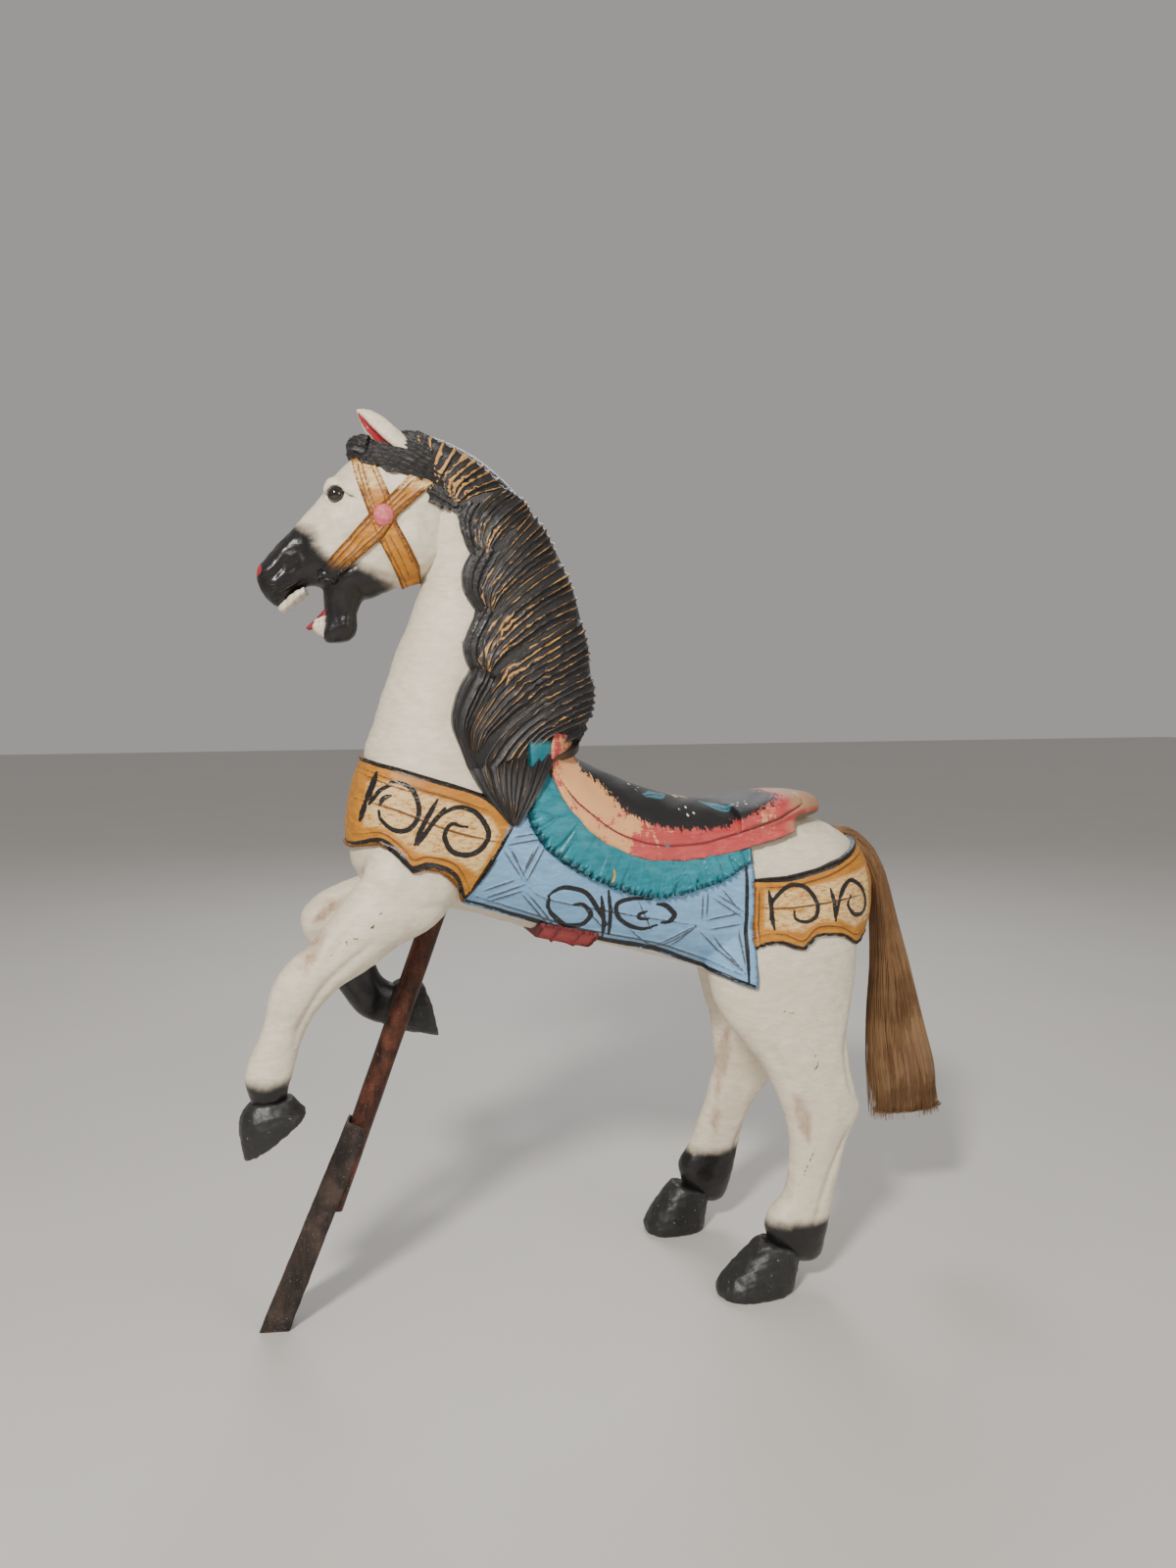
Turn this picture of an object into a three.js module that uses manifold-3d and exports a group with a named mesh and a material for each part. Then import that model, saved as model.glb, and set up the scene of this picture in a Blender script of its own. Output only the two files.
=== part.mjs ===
// A carved and painted carousel horse, rearing on its hind hooves and held up in front by a steel prop.
// Millimetres, +Z up. The horse faces -X and its left side is -Y. Its hooves and the prop stand on Z = 0.
// The limb tables give two outline points of each section, seen from the side, its centre and its half width:
// [front x, front z, back x, back z, centre y, half width].
import * as THREE from "three";
import { mergeVertices } from "three/addons/utils/BufferGeometryUtils.js";
import Module from "manifold-3d";

// Driving dimensions.
const CLEARANCE = 0.3; // between pieces that touch
const HEAD_PIVOT_X = -110; // the head turns about a vertical line through the poll
const HEAD_TURN = 11; // degrees, towards the horse's right
const EYE_RADIUS = 9;
const EYE = { x: -101, y: 28, z: 907 }; // in the head's own frame, y to each side
const CHEEK = { x: -25, z: 862, radius: 42, halfWidth: 41 }; // the round of the jaw, same frame
const COLLAR_PROUD = 4; // collar, blanket and rump strap stand this far off the body
const RUFFLE_PROUD = 8;
const SADDLE_PROUD = 12;
const MANE_PROUD = 5;
const BUCKLE_PROUD = 7;
const FORELOCK_PROUD = 6;
const ROD = { radius: 12.5, topX: -111, topZ: 456, slope: 0.364, length: 352, sunk: 40 };
const PROP_LEG = {
  sheet: 3, // thickness of the folded steel
  gapY: 0.5, // between the rod and each side plate
  slope: 0.431, // run over rise
  topZ: 226,
  frontX: 17.5, // from the rod's axis to the leg's front edge, at the top
  topWidth: 25,
  footWidth: 31,
  flare: 4, // the far plate is this much wider at the top and narrower at the foot
  twist: 12, // degrees about its own length
};

const wasm = await Module();
wasm.setup();

// ---------------------------------------------------------------- solids

// The closed surface of a geometry as a solid, turned so that it faces out.
function solid(geometry) {
  const bare = geometry.clone();
  bare.deleteAttribute("normal");
  bare.deleteAttribute("uv");
  const merged = mergeVertices(bare, 1e-4);
  const make = (triVerts) =>
    new wasm.Manifold(
      new wasm.Mesh({ numProp: 3, vertProperties: merged.attributes.position.array, triVerts }),
    );
  const corners = new Uint32Array(merged.index.array);
  const made = make(corners);
  return made.volume() > 0 ? made : make(corners.reverse());
}

// A solid as a named, coloured mesh.
function mesh(name, body, material) {
  const { numProp, vertProperties, triVerts } = body.getMesh();
  const geometry = new THREE.BufferGeometry();
  const points = new THREE.InterleavedBuffer(vertProperties, numProp);
  geometry.setAttribute("position", new THREE.InterleavedBufferAttribute(points, 3, 0));
  geometry.setIndex(new THREE.BufferAttribute(triVerts, 1));
  geometry.computeVertexNormals();
  const piece = new THREE.Mesh(geometry, material);
  piece.name = name;
  return piece;
}

// Rows between the given rows, on a smooth curve through them.
function refine(rows, steps) {
  const fine = [];
  for (let i = 0; i < rows.length - 1; i++) {
    const [a, b, c, d] = [i - 1, i, i + 1, i + 2].map((k) => rows[Math.min(Math.max(k, 0), rows.length - 1)]);
    for (let k = 0; k < steps; k++) {
      const t = k / steps;
      fine.push(
        b.map((_, j) => {
          const [m0, m1] = [(c[j] - a[j]) / 2, (d[j] - b[j]) / 2];
          const bend = 2 * b[j] - 2 * c[j] + m0 + m1;
          const rise = -3 * b[j] + 3 * c[j] - 2 * m0 - m1;
          return ((bend * t + rise) * t + m0) * t + b[j];
        }),
      );
    }
  }
  fine.push(rows[rows.length - 1]);
  return fine;
}

// A limb: rings through the rows, closed at both ends. "proud" swells it, "square" fills its corners.
function limb(rows, { sides = 14, steps = 2, proud = 0, square = 2.2 } = {}) {
  const rings = refine(rows, steps);
  const corner = (value) => Math.sign(value) * Math.abs(value) ** (2 / square);
  const positions = [];
  for (const [frontX, frontZ, backX, backZ, y, halfWidth] of rings) {
    const half = new THREE.Vector2(frontX - backX, frontZ - backZ).multiplyScalar(0.5);
    half.setLength(half.length() + proud);
    for (let k = 0; k < sides; k++) {
      const angle = (2 * Math.PI * k) / sides;
      const along = corner(Math.cos(angle));
      positions.push(
        (frontX + backX) / 2 + half.x * along,
        y + (halfWidth + proud) * corner(Math.sin(angle)),
        (frontZ + backZ) / 2 + half.y * along,
      );
    }
  }
  const ends = [rings[0], rings[rings.length - 1]];
  for (const [frontX, frontZ, backX, backZ, y] of ends)
    positions.push((frontX + backX) / 2, y, (frontZ + backZ) / 2);
  const faces = [];
  const [firstEnd, lastEnd] = [rings.length * sides, rings.length * sides + 1];
  for (let k = 0; k < sides; k++) {
    const next = (k + 1) % sides;
    faces.push(firstEnd, next, k);
    for (let i = 0; i < rings.length - 1; i++) {
      const [near, far] = [i * sides, (i + 1) * sides];
      faces.push(near + k, near + next, far + k, near + next, far + next, far + k);
    }
    const last = (rings.length - 1) * sides;
    faces.push(lastEnd, last + k, last + next);
  }
  const geometry = new THREE.BufferGeometry();
  geometry.setAttribute("position", new THREE.Float32BufferAttribute(positions, 3));
  geometry.setIndex(faces);
  return geometry;
}

// A prism whose side view is the outline, from y = near to y = far.
function prism(outline, near, far) {
  const shape = new THREE.Shape(outline.map(([x, z]) => new THREE.Vector2(x, z)));
  const geometry = new THREE.ExtrudeGeometry(shape, { depth: far - near, bevelEnabled: false });
  geometry.rotateX(Math.PI / 2); // the outline's second axis becomes +Z, and the depth runs to -Y
  geometry.translate(0, far, 0);
  return geometry;
}

// Scallops between two outline points: arcs that bow by "depth" to the left of the line.
function scallops(from, to, count, depth, perArc = 4) {
  const start = new THREE.Vector2(...from);
  const span = new THREE.Vector2(...to).sub(start);
  const side = new THREE.Vector2(-span.y, span.x).normalize();
  const points = [];
  for (let i = 0; i < count * perArc; i++) {
    const bow = depth * Math.abs(Math.sin((Math.PI * i) / perArc));
    points.push([
      start.x + (span.x * i) / (count * perArc) + side.x * bow,
      start.y + (span.y * i) / (count * perArc) + side.y * bow,
    ]);
  }
  return points;
}

const mirror = (rows) => rows.map(([fx, fz, bx, bz, y, w]) => [fx, fz, bx, bz, -y, w]);
const join = (...bodies) => bodies.reduce((whole, body) => whole.add(body));

// ---------------------------------------------------------------- body

// Trunk, from the chest back to the rump: the outline points are its top and its bottom.
const TRUNK = [
  [-203, 574, -206, 530, 0, 20],
  [-193, 612, -199, 498, 0, 44],
  [-172, 640, -174, 476, 0, 66],
  [-130, 652, -132, 462, 0, 78],
  [-75, 648, -78, 452, 0, 82],
  [-25, 636, -28, 436, 0, 80],
  [35, 616, 30, 419, 0, 78],
  [92, 590, 88, 404, 0, 77],
  [150, 569, 150, 386, 0, 78],
  [208, 559, 208, 368, 0, 82],
  [262, 556, 258, 352, 0, 89],
  [310, 553, 305, 346, 0, 94],
  [352, 545, 345, 352, 0, 92],
  [386, 527, 380, 372, 0, 77],
  [406, 501, 403, 402, 0, 54],
  [417, 466, 416, 437, 0, 22],
];

// Neck, from inside the chest up to the poll: throat side first, then the crest.
const NECK = [
  [-183, 560, 30, 560, 0, 68],
  [-189, 624, 36, 628, 0, 67],
  [-179, 662, 42, 668, 0, 62],
  [-166, 702, 42, 714, 0, 57],
  [-148, 752, 36, 768, 0, 52],
  [-132, 790, 22, 818, 0, 47],
  [-122, 822, 2, 862, 0, 44],
  [-120, 856, -26, 903, 0, 41],
  [-120, 890, -60, 940, 0, 37],
  [-124, 922, -95, 962, 0, 29],
];

const HIND_LEG_LEFT = [
  [208, 440, 385, 458, -46, 44],
  [196, 380, 385, 405, -58, 42],
  [206, 330, 375, 335, -66, 36],
  [232, 295, 366, 298, -73, 31],
  [260, 258, 368, 255, -79, 27],
  [273, 228, 375, 224, -83, 24],
  [281, 206, 380, 204, -85, 21],
  [286, 186, 369, 184, -86, 20],
  [288, 165, 360, 165, -87, 19],
  [286, 136, 352, 136, -88, 19],
  [278, 110, 345, 108, -88, 20],
  [263, 92, 341, 89, -88, 22],
  [256, 78, 338, 75, -89, 23],
  [259, 66, 333, 54, -89, 22],
  [262, 54, 326, 30, -89, 17],
  [270, 46, 300, 27, -89, 12],
];
const HIND_HOOF_LEFT = [
  [252, 62, 297, 46, -89, 22],
  [243, 55, 298, 38, -89, 25],
  [221, 35, 296, 24, -89, 29],
  [199, 12, 292, 10, -89, 32],
  [199, 0, 290, 0, -89, 31],
];

const HIND_LEG_RIGHT = [
  [212, 440, 385, 458, 46, 44],
  [225, 380, 385, 405, 58, 42],
  [236, 336, 375, 335, 66, 35],
  [248, 298, 366, 298, 73, 30],
  [258, 262, 363, 256, 79, 26],
  [264, 230, 362, 224, 83, 23],
  [263, 206, 358, 202, 85, 21],
  [258, 182, 340, 182, 86, 20],
  [250, 156, 320, 154, 87, 19],
  [241, 130, 308, 128, 88, 19],
  [231, 107, 301, 104, 88, 20],
  [221, 91, 297, 89, 88, 22],
  [218, 80, 294, 77, 89, 23],
  [221, 69, 289, 58, 89, 22],
  [223, 58, 280, 33, 89, 17],
  [230, 48, 260, 29, 89, 12],
];
const HIND_HOOF_RIGHT = [
  [211, 62, 255, 46, 89, 22],
  [202, 55, 257, 38, 89, 24],
  [187, 35, 255, 24, 89, 28],
  [173, 12, 252, 10, 89, 30],
  [173, 0, 250, 0, 89, 29],
];

// The left foreleg reaches out, bent a little at the knee.
const FORELEG_LEFT = [
  [-178, 545, -80, 500, -44, 34],
  [-198, 508, -118, 452, -55, 33],
  [-219, 480, -162, 430, -62, 30],
  [-238, 457, -192, 410, -65, 27],
  [-261, 434, -222, 393, -66, 24],
  [-284, 411, -243, 373, -66, 23],
  [-297, 387, -251, 363, -67, 22],
  [-301, 364, -259, 349, -67, 18],
  [-308, 343, -266, 332, -68, 17],
  [-316, 326, -270, 319, -68, 18],
  [-322, 310, -274, 304, -69, 20],
  [-323, 297, -277, 295, -69, 20],
  [-319, 284, -279, 287, -69, 17],
  [-316, 272, -280, 275, -69, 14],
];
const FORE_HOOF_LEFT = [
  [-318, 277, -274, 281, -69, 18],
  [-326, 266, -266, 270, -69, 24],
  [-329, 248, -261, 265, -69, 27],
  [-324, 218, -262, 261, -69, 28],
];

// The right foreleg is folded back at the knee.
const FOREARM_RIGHT = [
  [-150, 535, -95, 450, 40, 34],
  [-178, 497, -150, 432, 50, 32],
  [-204, 483, -182, 426, 57, 29],
  [-228, 473, -212, 420, 61, 26],
  [-248, 458, -236, 416, 62, 24],
  [-256, 442, -250, 420, 62, 16],
];
const CANNON_RIGHT = [
  [-256, 448, -222, 456, 62, 17],
  [-254, 424, -212, 440, 62, 21],
  [-237, 390, -195, 414, 62, 19],
  [-215, 357, -174, 387, 62, 18],
  [-203, 339, -167, 372, 62, 20],
  [-191, 323, -161, 364, 62, 20],
  [-178, 316, -154, 360, 62, 18],
  [-160, 309, -146, 361, 62, 16],
];
const FORE_HOOF_RIGHT = [
  [-172, 316, -152, 358, 62, 17],
  [-158, 308, -142, 363, 62, 22],
  [-132, 300, -126, 362, 62, 27],
  [-100, 293, -117, 357, 62, 29],
];

const BODY_LIMBS = [
  [TRUNK, { sides: 22, steps: 1, square: 2.3 }],
  [NECK, { sides: 18, steps: 1, square: 2.2 }],
  [HIND_LEG_LEFT, { sides: 14, steps: 1 }],
  [HIND_LEG_RIGHT, { sides: 14, steps: 1 }],
  [FORELEG_LEFT, { sides: 14, steps: 1 }],
  [FOREARM_RIGHT, { sides: 14, steps: 1 }],
];
const bodyCore = (proud = 0) =>
  join(...BODY_LIMBS.map(([rows, how]) => solid(limb(rows, { ...how, proud }))));

// A layer of trappings: the body swollen by "proud", where the outline covers it.
function layer(outline, proud, near = -140, far = 140) {
  return bodyCore(proud).intersect(solid(prism(outline, near, far)));
}

const COLLAR_OUTLINE = [
  [-240, 648],
  [-42, 557],
  [-92, 475],
  ...scallops([-93, 485], [-153, 514], 1, 12),
  ...scallops([-153, 514], [-240, 536], 1, 14),
];
const BLANKET_OUTLINE = [
  [-44, 557],
  [-92, 474],
  [-30, 452],
  [67, 422],
  [160, 390],
  [240, 362],
  [238, 512],
  [226, 590],
  [0, 640],
];
const STRAP_OUTLINE = [
  [238, 484],
  [290, 489],
  [350, 505],
  [400, 522],
  [450, 530],
  [450, 425],
  ...scallops([430, 420], [365, 405], 1, 8),
  ...scallops([365, 405], [300, 403], 1, 14),
  ...scallops([300, 403], [238, 406], 1, 10),
];
const SADDLE_OUTLINE = [
  [10, 700],
  [7, 607],
  [26, 567],
  [65, 531],
  [111, 513],
  [158, 510],
  [200, 514],
  [250, 522],
  [300, 536],
  [340, 700],
];
const RUFFLE_OUTLINE = [
  [-20, 650],
  [-17, 580],
  [-8, 552],
  [15, 519],
  [49, 493],
  [88, 478],
  [123, 472],
  [158, 475],
  [200, 484],
  [236, 503],
  [236, 600],
];

// The cantle: the saddle's raised rim behind the seat, a thick lip that overhangs the rump.
const CANTLE = [
  [226, 568, 226, 524, 0, 80],
  [258, 573, 262, 531, 0, 77],
  [288, 578, 296, 541, 0, 69],
  [318, 580, 326, 547, 0, 56],
  [341, 576, 346, 551, 0, 38],
  [353, 568, 355, 556, 0, 18],
];
const GIRTH_BUCKLE = [
  [-2, 425],
  [57, 411],
  [60, 427],
  [-2, 441],
];

// ---------------------------------------------------------------- mane

// The neck swollen backwards to the crest of the mane.
const MANE_BLANK = [
  [-190, 560, 36, 600, 0, 66],
  [-190, 628, 46, 648, 0, 70],
  [-182, 662, 66, 684, 0, 66],
  [-169, 702, 67, 722, 0, 61],
  [-151, 752, 58, 770, 0, 55],
  [-135, 790, 44, 818, 0, 50],
  [-125, 822, 20, 866, 0, 47],
  [-121, 856, -10, 908, 0, 43],
  [-120, 890, -51, 945, 0, 38],
  [-124, 925, -88, 965, 0, 32],
  [-128, 950, -112, 973, 0, 24],
];
// The front edge hangs over the neck in waves; the crest is a row of lock ends.
const MANE_OUTLINE = [
  [-20, 552],
  [-38, 553],
  [-58, 578],
  [-83, 611],
  [-96, 646],
  [-102, 674],
  [-94, 703],
  [-82, 723],
  [-88, 751],
  [-80, 777],
  [-77, 787],
  [-86, 808],
  [-87, 823],
  [-81, 851],
  [-88, 879],
  [-90, 893],
  [-106, 897],
  [-130, 902],
  [-128, 925],
  [-150, 990],
  ...scallops([-134, 973], [-78, 947], 1, 5),
  ...scallops([-77, 949], [-39, 917], 1, 4),
  ...scallops([-38, 920], [-7, 888], 1, 4),
  ...scallops([-6, 889], [19, 845], 1, 5),
  ...scallops([23, 844], [40, 793], 1, 6),
  ...scallops([43, 789], [53, 726], 1, 6),
  ...scallops([57, 722], [57, 666], 1, 7),
  [48, 644],
  [46, 628],
  [29, 625],
  [4, 600],
  [-12, 578],
];

// ---------------------------------------------------------------- head, in its own frame: x = 0 at the pivot

const SKULL = [
  [18, 940, 30, 900, 0, 22],
  [-6, 972, 24, 884, 0, 31],
  [-42, 972, 13, 848, 0, 37],
  [-78, 955, -12, 822, 0, 39],
  [-103, 932, -42, 811, 0, 38],
  [-120, 908, -72, 799, 0, 34],
  [-137, 889, -98, 802, 0, 30],
  [-151, 873, -122, 812, 0, 27],
  [-164, 860, -140, 811, 0, 25],
  [-176, 846, -154, 802, 0, 25],
  [-187, 833, -166, 790, 0, 23],
  [-190, 821, -178, 797, 0, 14],
];
const JAW = [
  [-119, 822, -74, 812, 0, 26],
  [-119, 803, -79, 795, 0, 22],
  [-118, 785, -83, 784, 0, 19],
  [-118, 768, -84, 764, 0, 18],
  [-114, 751, -92, 753, 0, 12],
];
const TONGUE = [
  [-112, 796, -104, 788, 0, 10],
  [-124, 782, -114, 774, 0, 9],
  [-139, 768, -135, 765, 0, 3],
];
const UPPER_TEETH = [
  [-138, 812, -136, 804, 0, 17],
  [-150, 806, -146, 795, 0, 16],
  [-162, 796, -160, 784, 0, 12],
  [-166, 792, -166, 786, 0, 8],
];
const LOWER_TEETH = [
  [-129, 776, -114, 782, 0, 13],
  [-131, 768, -114, 766, 0, 14],
  [-126, 760, -114, 757, 0, 10],
];
const EAR = [
  [-20, 938, -10, 946, 21, 8],
  [-38, 946, -21, 963, 22, 10],
  [-55, 958, -36, 978, 22, 10],
  [-69, 973, -52, 991, 21, 7],
  [-77, 986, -63, 997, 20, 4],
  [-80, 997, -76, 999, 20, 1.5],
];
// The tuft of the forelock over the brow, and the line down to which the hair covers the head.
const FORELOCK_TUFT = [
  [-91, 963, -91, 955, 0, 8],
  [-88, 969, -89, 949, 0, 19],
  [-80, 973, -83, 946, 0, 26],
  [-66, 974, -70, 942, 0, 29],
];
const FORELOCK_OUTLINE = [
  [-84, 946],
  [-60, 939],
  [-44, 932],
  [-24, 926],
  [4, 918],
  [34, 902],
  [40, 990],
  [-80, 990],
  [-100, 960],
];

// Places what was drawn in the head's frame.
function turned(geometry) {
  return geometry.rotateZ(THREE.MathUtils.degToRad(-HEAD_TURN)).translate(HEAD_PIVOT_X, 0, 0);
}

function head() {
  const how = { sides: 16, steps: 1 };
  const forelock = solid(turned(limb(SKULL, { ...how, proud: FORELOCK_PROUD }))).intersect(
    solid(turned(prism(FORELOCK_OUTLINE, -60, 60))),
  );
  const cheek = new THREE.SphereGeometry(1, 14, 10).rotateX(Math.PI / 2);
  cheek.scale(CHEEK.radius, CHEEK.halfWidth, CHEEK.radius).translate(CHEEK.x, 0, CHEEK.z);
  return join(
    solid(turned(limb(SKULL, how))),
    solid(turned(cheek)),
    solid(turned(limb(FORELOCK_TUFT, { sides: 12, steps: 1 }))),
    solid(turned(limb(JAW, { sides: 12, steps: 1 }))),
    solid(turned(limb(TONGUE, { sides: 8, steps: 1 }))),
    solid(turned(limb(UPPER_TEETH, { sides: 8, steps: 1, square: 3 }))),
    solid(turned(limb(LOWER_TEETH, { sides: 8, steps: 1, square: 3 }))),
    solid(turned(limb(EAR, { sides: 8, steps: 1, square: 1.8 }))),
    solid(turned(limb(mirror(EAR), { sides: 8, steps: 1, square: 1.8 }))),
    forelock,
  );
}

function eyeball(side, radius) {
  return turned(new THREE.SphereGeometry(radius, 12, 8).translate(EYE.x, side * EYE.y, EYE.z));
}

// ---------------------------------------------------------------- prop

const rodX = (z) => ROD.topX - ROD.slope * (ROD.topZ - z); // the rod's axis at a height

function leaning(slope) {
  const direction = new THREE.Vector3(slope, 0, 1).normalize();
  return new THREE.Quaternion().setFromUnitVectors(new THREE.Vector3(0, 0, 1), direction);
}

// A bar along the rod's axis, from "up" above the point where the rod leaves the belly.
function rodBar(radius, up, down) {
  const bar = new THREE.CylinderGeometry(radius, radius, up + down, 24).rotateX(Math.PI / 2);
  bar.translate(0, 0, (up - down) / 2).applyQuaternion(leaning(ROD.slope));
  return bar.translate(ROD.topX, 0, ROD.topZ);
}

// The leg: a folded channel that holds the rod's end, its open side to the back, cut flat at the floor.
function propLeg() {
  const { sheet, gapY, slope, topZ, frontX, topWidth, footWidth, flare, twist } = PROP_LEG;
  const inner = ROD.radius + gapY;
  const outer = inner + sheet;
  const length = topZ * Math.hypot(1, slope) + footWidth; // runs on below the floor, to be cut there
  const tilt = leaning(slope);
  const plate = (near, far, atTop, atFoot) => {
    const outline = [
      [0, 0],
      [atTop, 0],
      [atFoot, -length],
      [0, -length],
    ];
    const flat = prism(outline, near, far).rotateZ(THREE.MathUtils.degToRad(-twist));
    return solid(flat.applyQuaternion(tilt).translate(rodX(topZ) - frontX, 0, topZ));
  };
  const channel = join(
    plate(-outer, -inner, topWidth, footWidth),
    plate(inner, outer, topWidth + flare, footWidth - flare),
    plate(-outer, outer, sheet, sheet),
  );
  const floor = new THREE.BoxGeometry(2 * length, 2 * length, length).translate(rodX(0), 0, -length / 2);
  return channel
    .subtract(solid(floor))
    .subtract(solid(rodBar(ROD.radius + CLEARANCE, 0, ROD.length)));
}

// ---------------------------------------------------------------- tail

// A hank of hair, plugged into the rump, that arcs over and hangs to the back.
const TAIL = [
  [378, 522, 384, 532, 0, 6],
  [397, 509, 402, 532, 0, 9],
  [411, 501, 421, 522, 0, 11],
  [426, 486, 440, 505, 1, 12],
  [439, 464, 455, 481, 2, 13],
  [443, 430, 466, 456, 4, 14],
  [445, 380, 482, 408, 6, 16],
  [445, 320, 503, 345, 8, 19],
  [444, 257, 525, 275, 9, 21],
  [451, 195, 547, 205, 10, 22],
  [455, 150, 558, 150, 11, 21],
  [464, 100, 564, 100, 12, 16],
  [500, 90, 550, 92, 12, 8],
];
const TAIL_SIDES = { sides: 12, steps: 1 };

// ---------------------------------------------------------------- the horse

function carvedHorse() {
  const trappings = [
    layer(COLLAR_OUTLINE, COLLAR_PROUD),
    layer(BLANKET_OUTLINE, COLLAR_PROUD),
    layer(STRAP_OUTLINE, COLLAR_PROUD),
    layer(GIRTH_BUCKLE, BUCKLE_PROUD),
    layer(RUFFLE_OUTLINE, RUFFLE_PROUD),
    layer(SADDLE_OUTLINE, SADDLE_PROUD),
    solid(limb(CANTLE, { sides: 16, steps: 1, square: 3 })),
  ];
  const mane = solid(limb(MANE_BLANK, { sides: 18, steps: 1, proud: MANE_PROUD })).intersect(
    solid(prism(MANE_OUTLINE, -100, 100)),
  );
  let horse = join(
    bodyCore(),
    ...trappings,
    mane,
    head(),
    solid(limb(CANNON_RIGHT, { steps: 1 })),
    ...[HIND_HOOF_LEFT, HIND_HOOF_RIGHT, FORE_HOOF_LEFT, FORE_HOOF_RIGHT].map((rows) =>
      solid(limb(rows, { steps: 1, square: 2.4 })),
    ),
  );
  horse = horse.subtract(solid(rodBar(ROD.radius + CLEARANCE, ROD.sunk + 1, 60)));
  horse = horse.subtract(solid(limb(TAIL, { ...TAIL_SIDES, proud: CLEARANCE })));
  for (const side of [-1, 1]) horse = horse.subtract(solid(eyeball(side, EYE_RADIUS + CLEARANCE)));
  return horse;
}

const paintedWood = new THREE.MeshStandardMaterial({ color: 0xe8ddc8, roughness: 0.6, metalness: 0 });
const blackGlass = new THREE.MeshStandardMaterial({ color: 0x0c0806, roughness: 0.05, metalness: 0 });
const hair = new THREE.MeshStandardMaterial({ color: 0x6a4526, roughness: 0.7, metalness: 0 });
const brownSteel = new THREE.MeshStandardMaterial({ color: 0x2b1a14, roughness: 0.5, metalness: 0.7 });

const horse = new THREE.Group();
horse.add(
  mesh("carved_horse", carvedHorse(), paintedWood),
  mesh("eye_left", solid(eyeball(-1, EYE_RADIUS)), blackGlass),
  mesh("eye_right", solid(eyeball(1, EYE_RADIUS)), blackGlass),
  mesh("hair_tail", solid(limb(TAIL, TAIL_SIDES)), hair),
  mesh("prop_rod", solid(rodBar(ROD.radius, ROD.sunk, ROD.length)), brownSteel),
  mesh("prop_leg", propLeg(), brownSteel),
);

// The origin is under the middle of the whole, on the floor.
const box = new THREE.Box3().setFromObject(horse);
horse.position.set(-(box.min.x + box.max.x) / 2, -(box.min.y + box.max.y) / 2, -box.min.z);

export default horse;
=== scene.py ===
# A carved and painted carousel horse on its steel prop: the looks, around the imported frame.
# Shapes are worked out in millimetres in the carver's own frame: the horse faces -X, its left side is -Y,
# and Y = 0 is its middle plane. to_frame() brings them to the frame's metres.
import math

import bpy
import numpy as np
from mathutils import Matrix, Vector
from mathutils.kdtree import KDTree


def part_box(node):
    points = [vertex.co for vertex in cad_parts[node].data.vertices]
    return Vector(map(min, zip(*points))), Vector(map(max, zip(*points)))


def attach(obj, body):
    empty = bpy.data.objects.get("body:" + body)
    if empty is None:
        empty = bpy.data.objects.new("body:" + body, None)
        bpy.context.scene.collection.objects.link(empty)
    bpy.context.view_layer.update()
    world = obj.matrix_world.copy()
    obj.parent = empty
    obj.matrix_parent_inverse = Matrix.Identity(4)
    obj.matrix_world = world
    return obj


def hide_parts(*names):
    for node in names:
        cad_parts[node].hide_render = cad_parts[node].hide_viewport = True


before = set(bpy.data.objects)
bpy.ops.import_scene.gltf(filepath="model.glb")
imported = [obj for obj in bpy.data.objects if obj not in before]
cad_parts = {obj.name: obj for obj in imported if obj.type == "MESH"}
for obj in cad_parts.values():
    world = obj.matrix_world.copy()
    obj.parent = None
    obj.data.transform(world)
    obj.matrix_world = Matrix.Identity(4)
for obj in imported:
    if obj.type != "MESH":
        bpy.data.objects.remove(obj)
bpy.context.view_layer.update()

# ---------------------------------------------------------------- where the carver's frame lies

HEAD_PIVOT_X = -110
HEAD_TURN = math.radians(-11)
EYE = np.array([-101, 28, 907])
EYE_RADIUS = 9


def turned(points):
    """Points of the head's own frame, where x = 0 is the pivot, as the horse turns it."""
    points = np.asarray(points, float)
    c, s = math.cos(HEAD_TURN), math.sin(HEAD_TURN)
    x, y, z = points[:, 0], points[:, 1], points[:, 2]
    return np.stack([x * c - y * s + HEAD_PIVOT_X, x * s + y * c, z], 1)


eye_low, eye_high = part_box("eye_left")
SHIFT = np.array((eye_low + eye_high) / 2) - turned([EYE * (1, -1, 1)])[0] * 0.001


def to_frame(points):
    return np.asarray(points, float) * 0.001 + SHIFT


# ---------------------------------------------------------------- camera, light and floor


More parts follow.
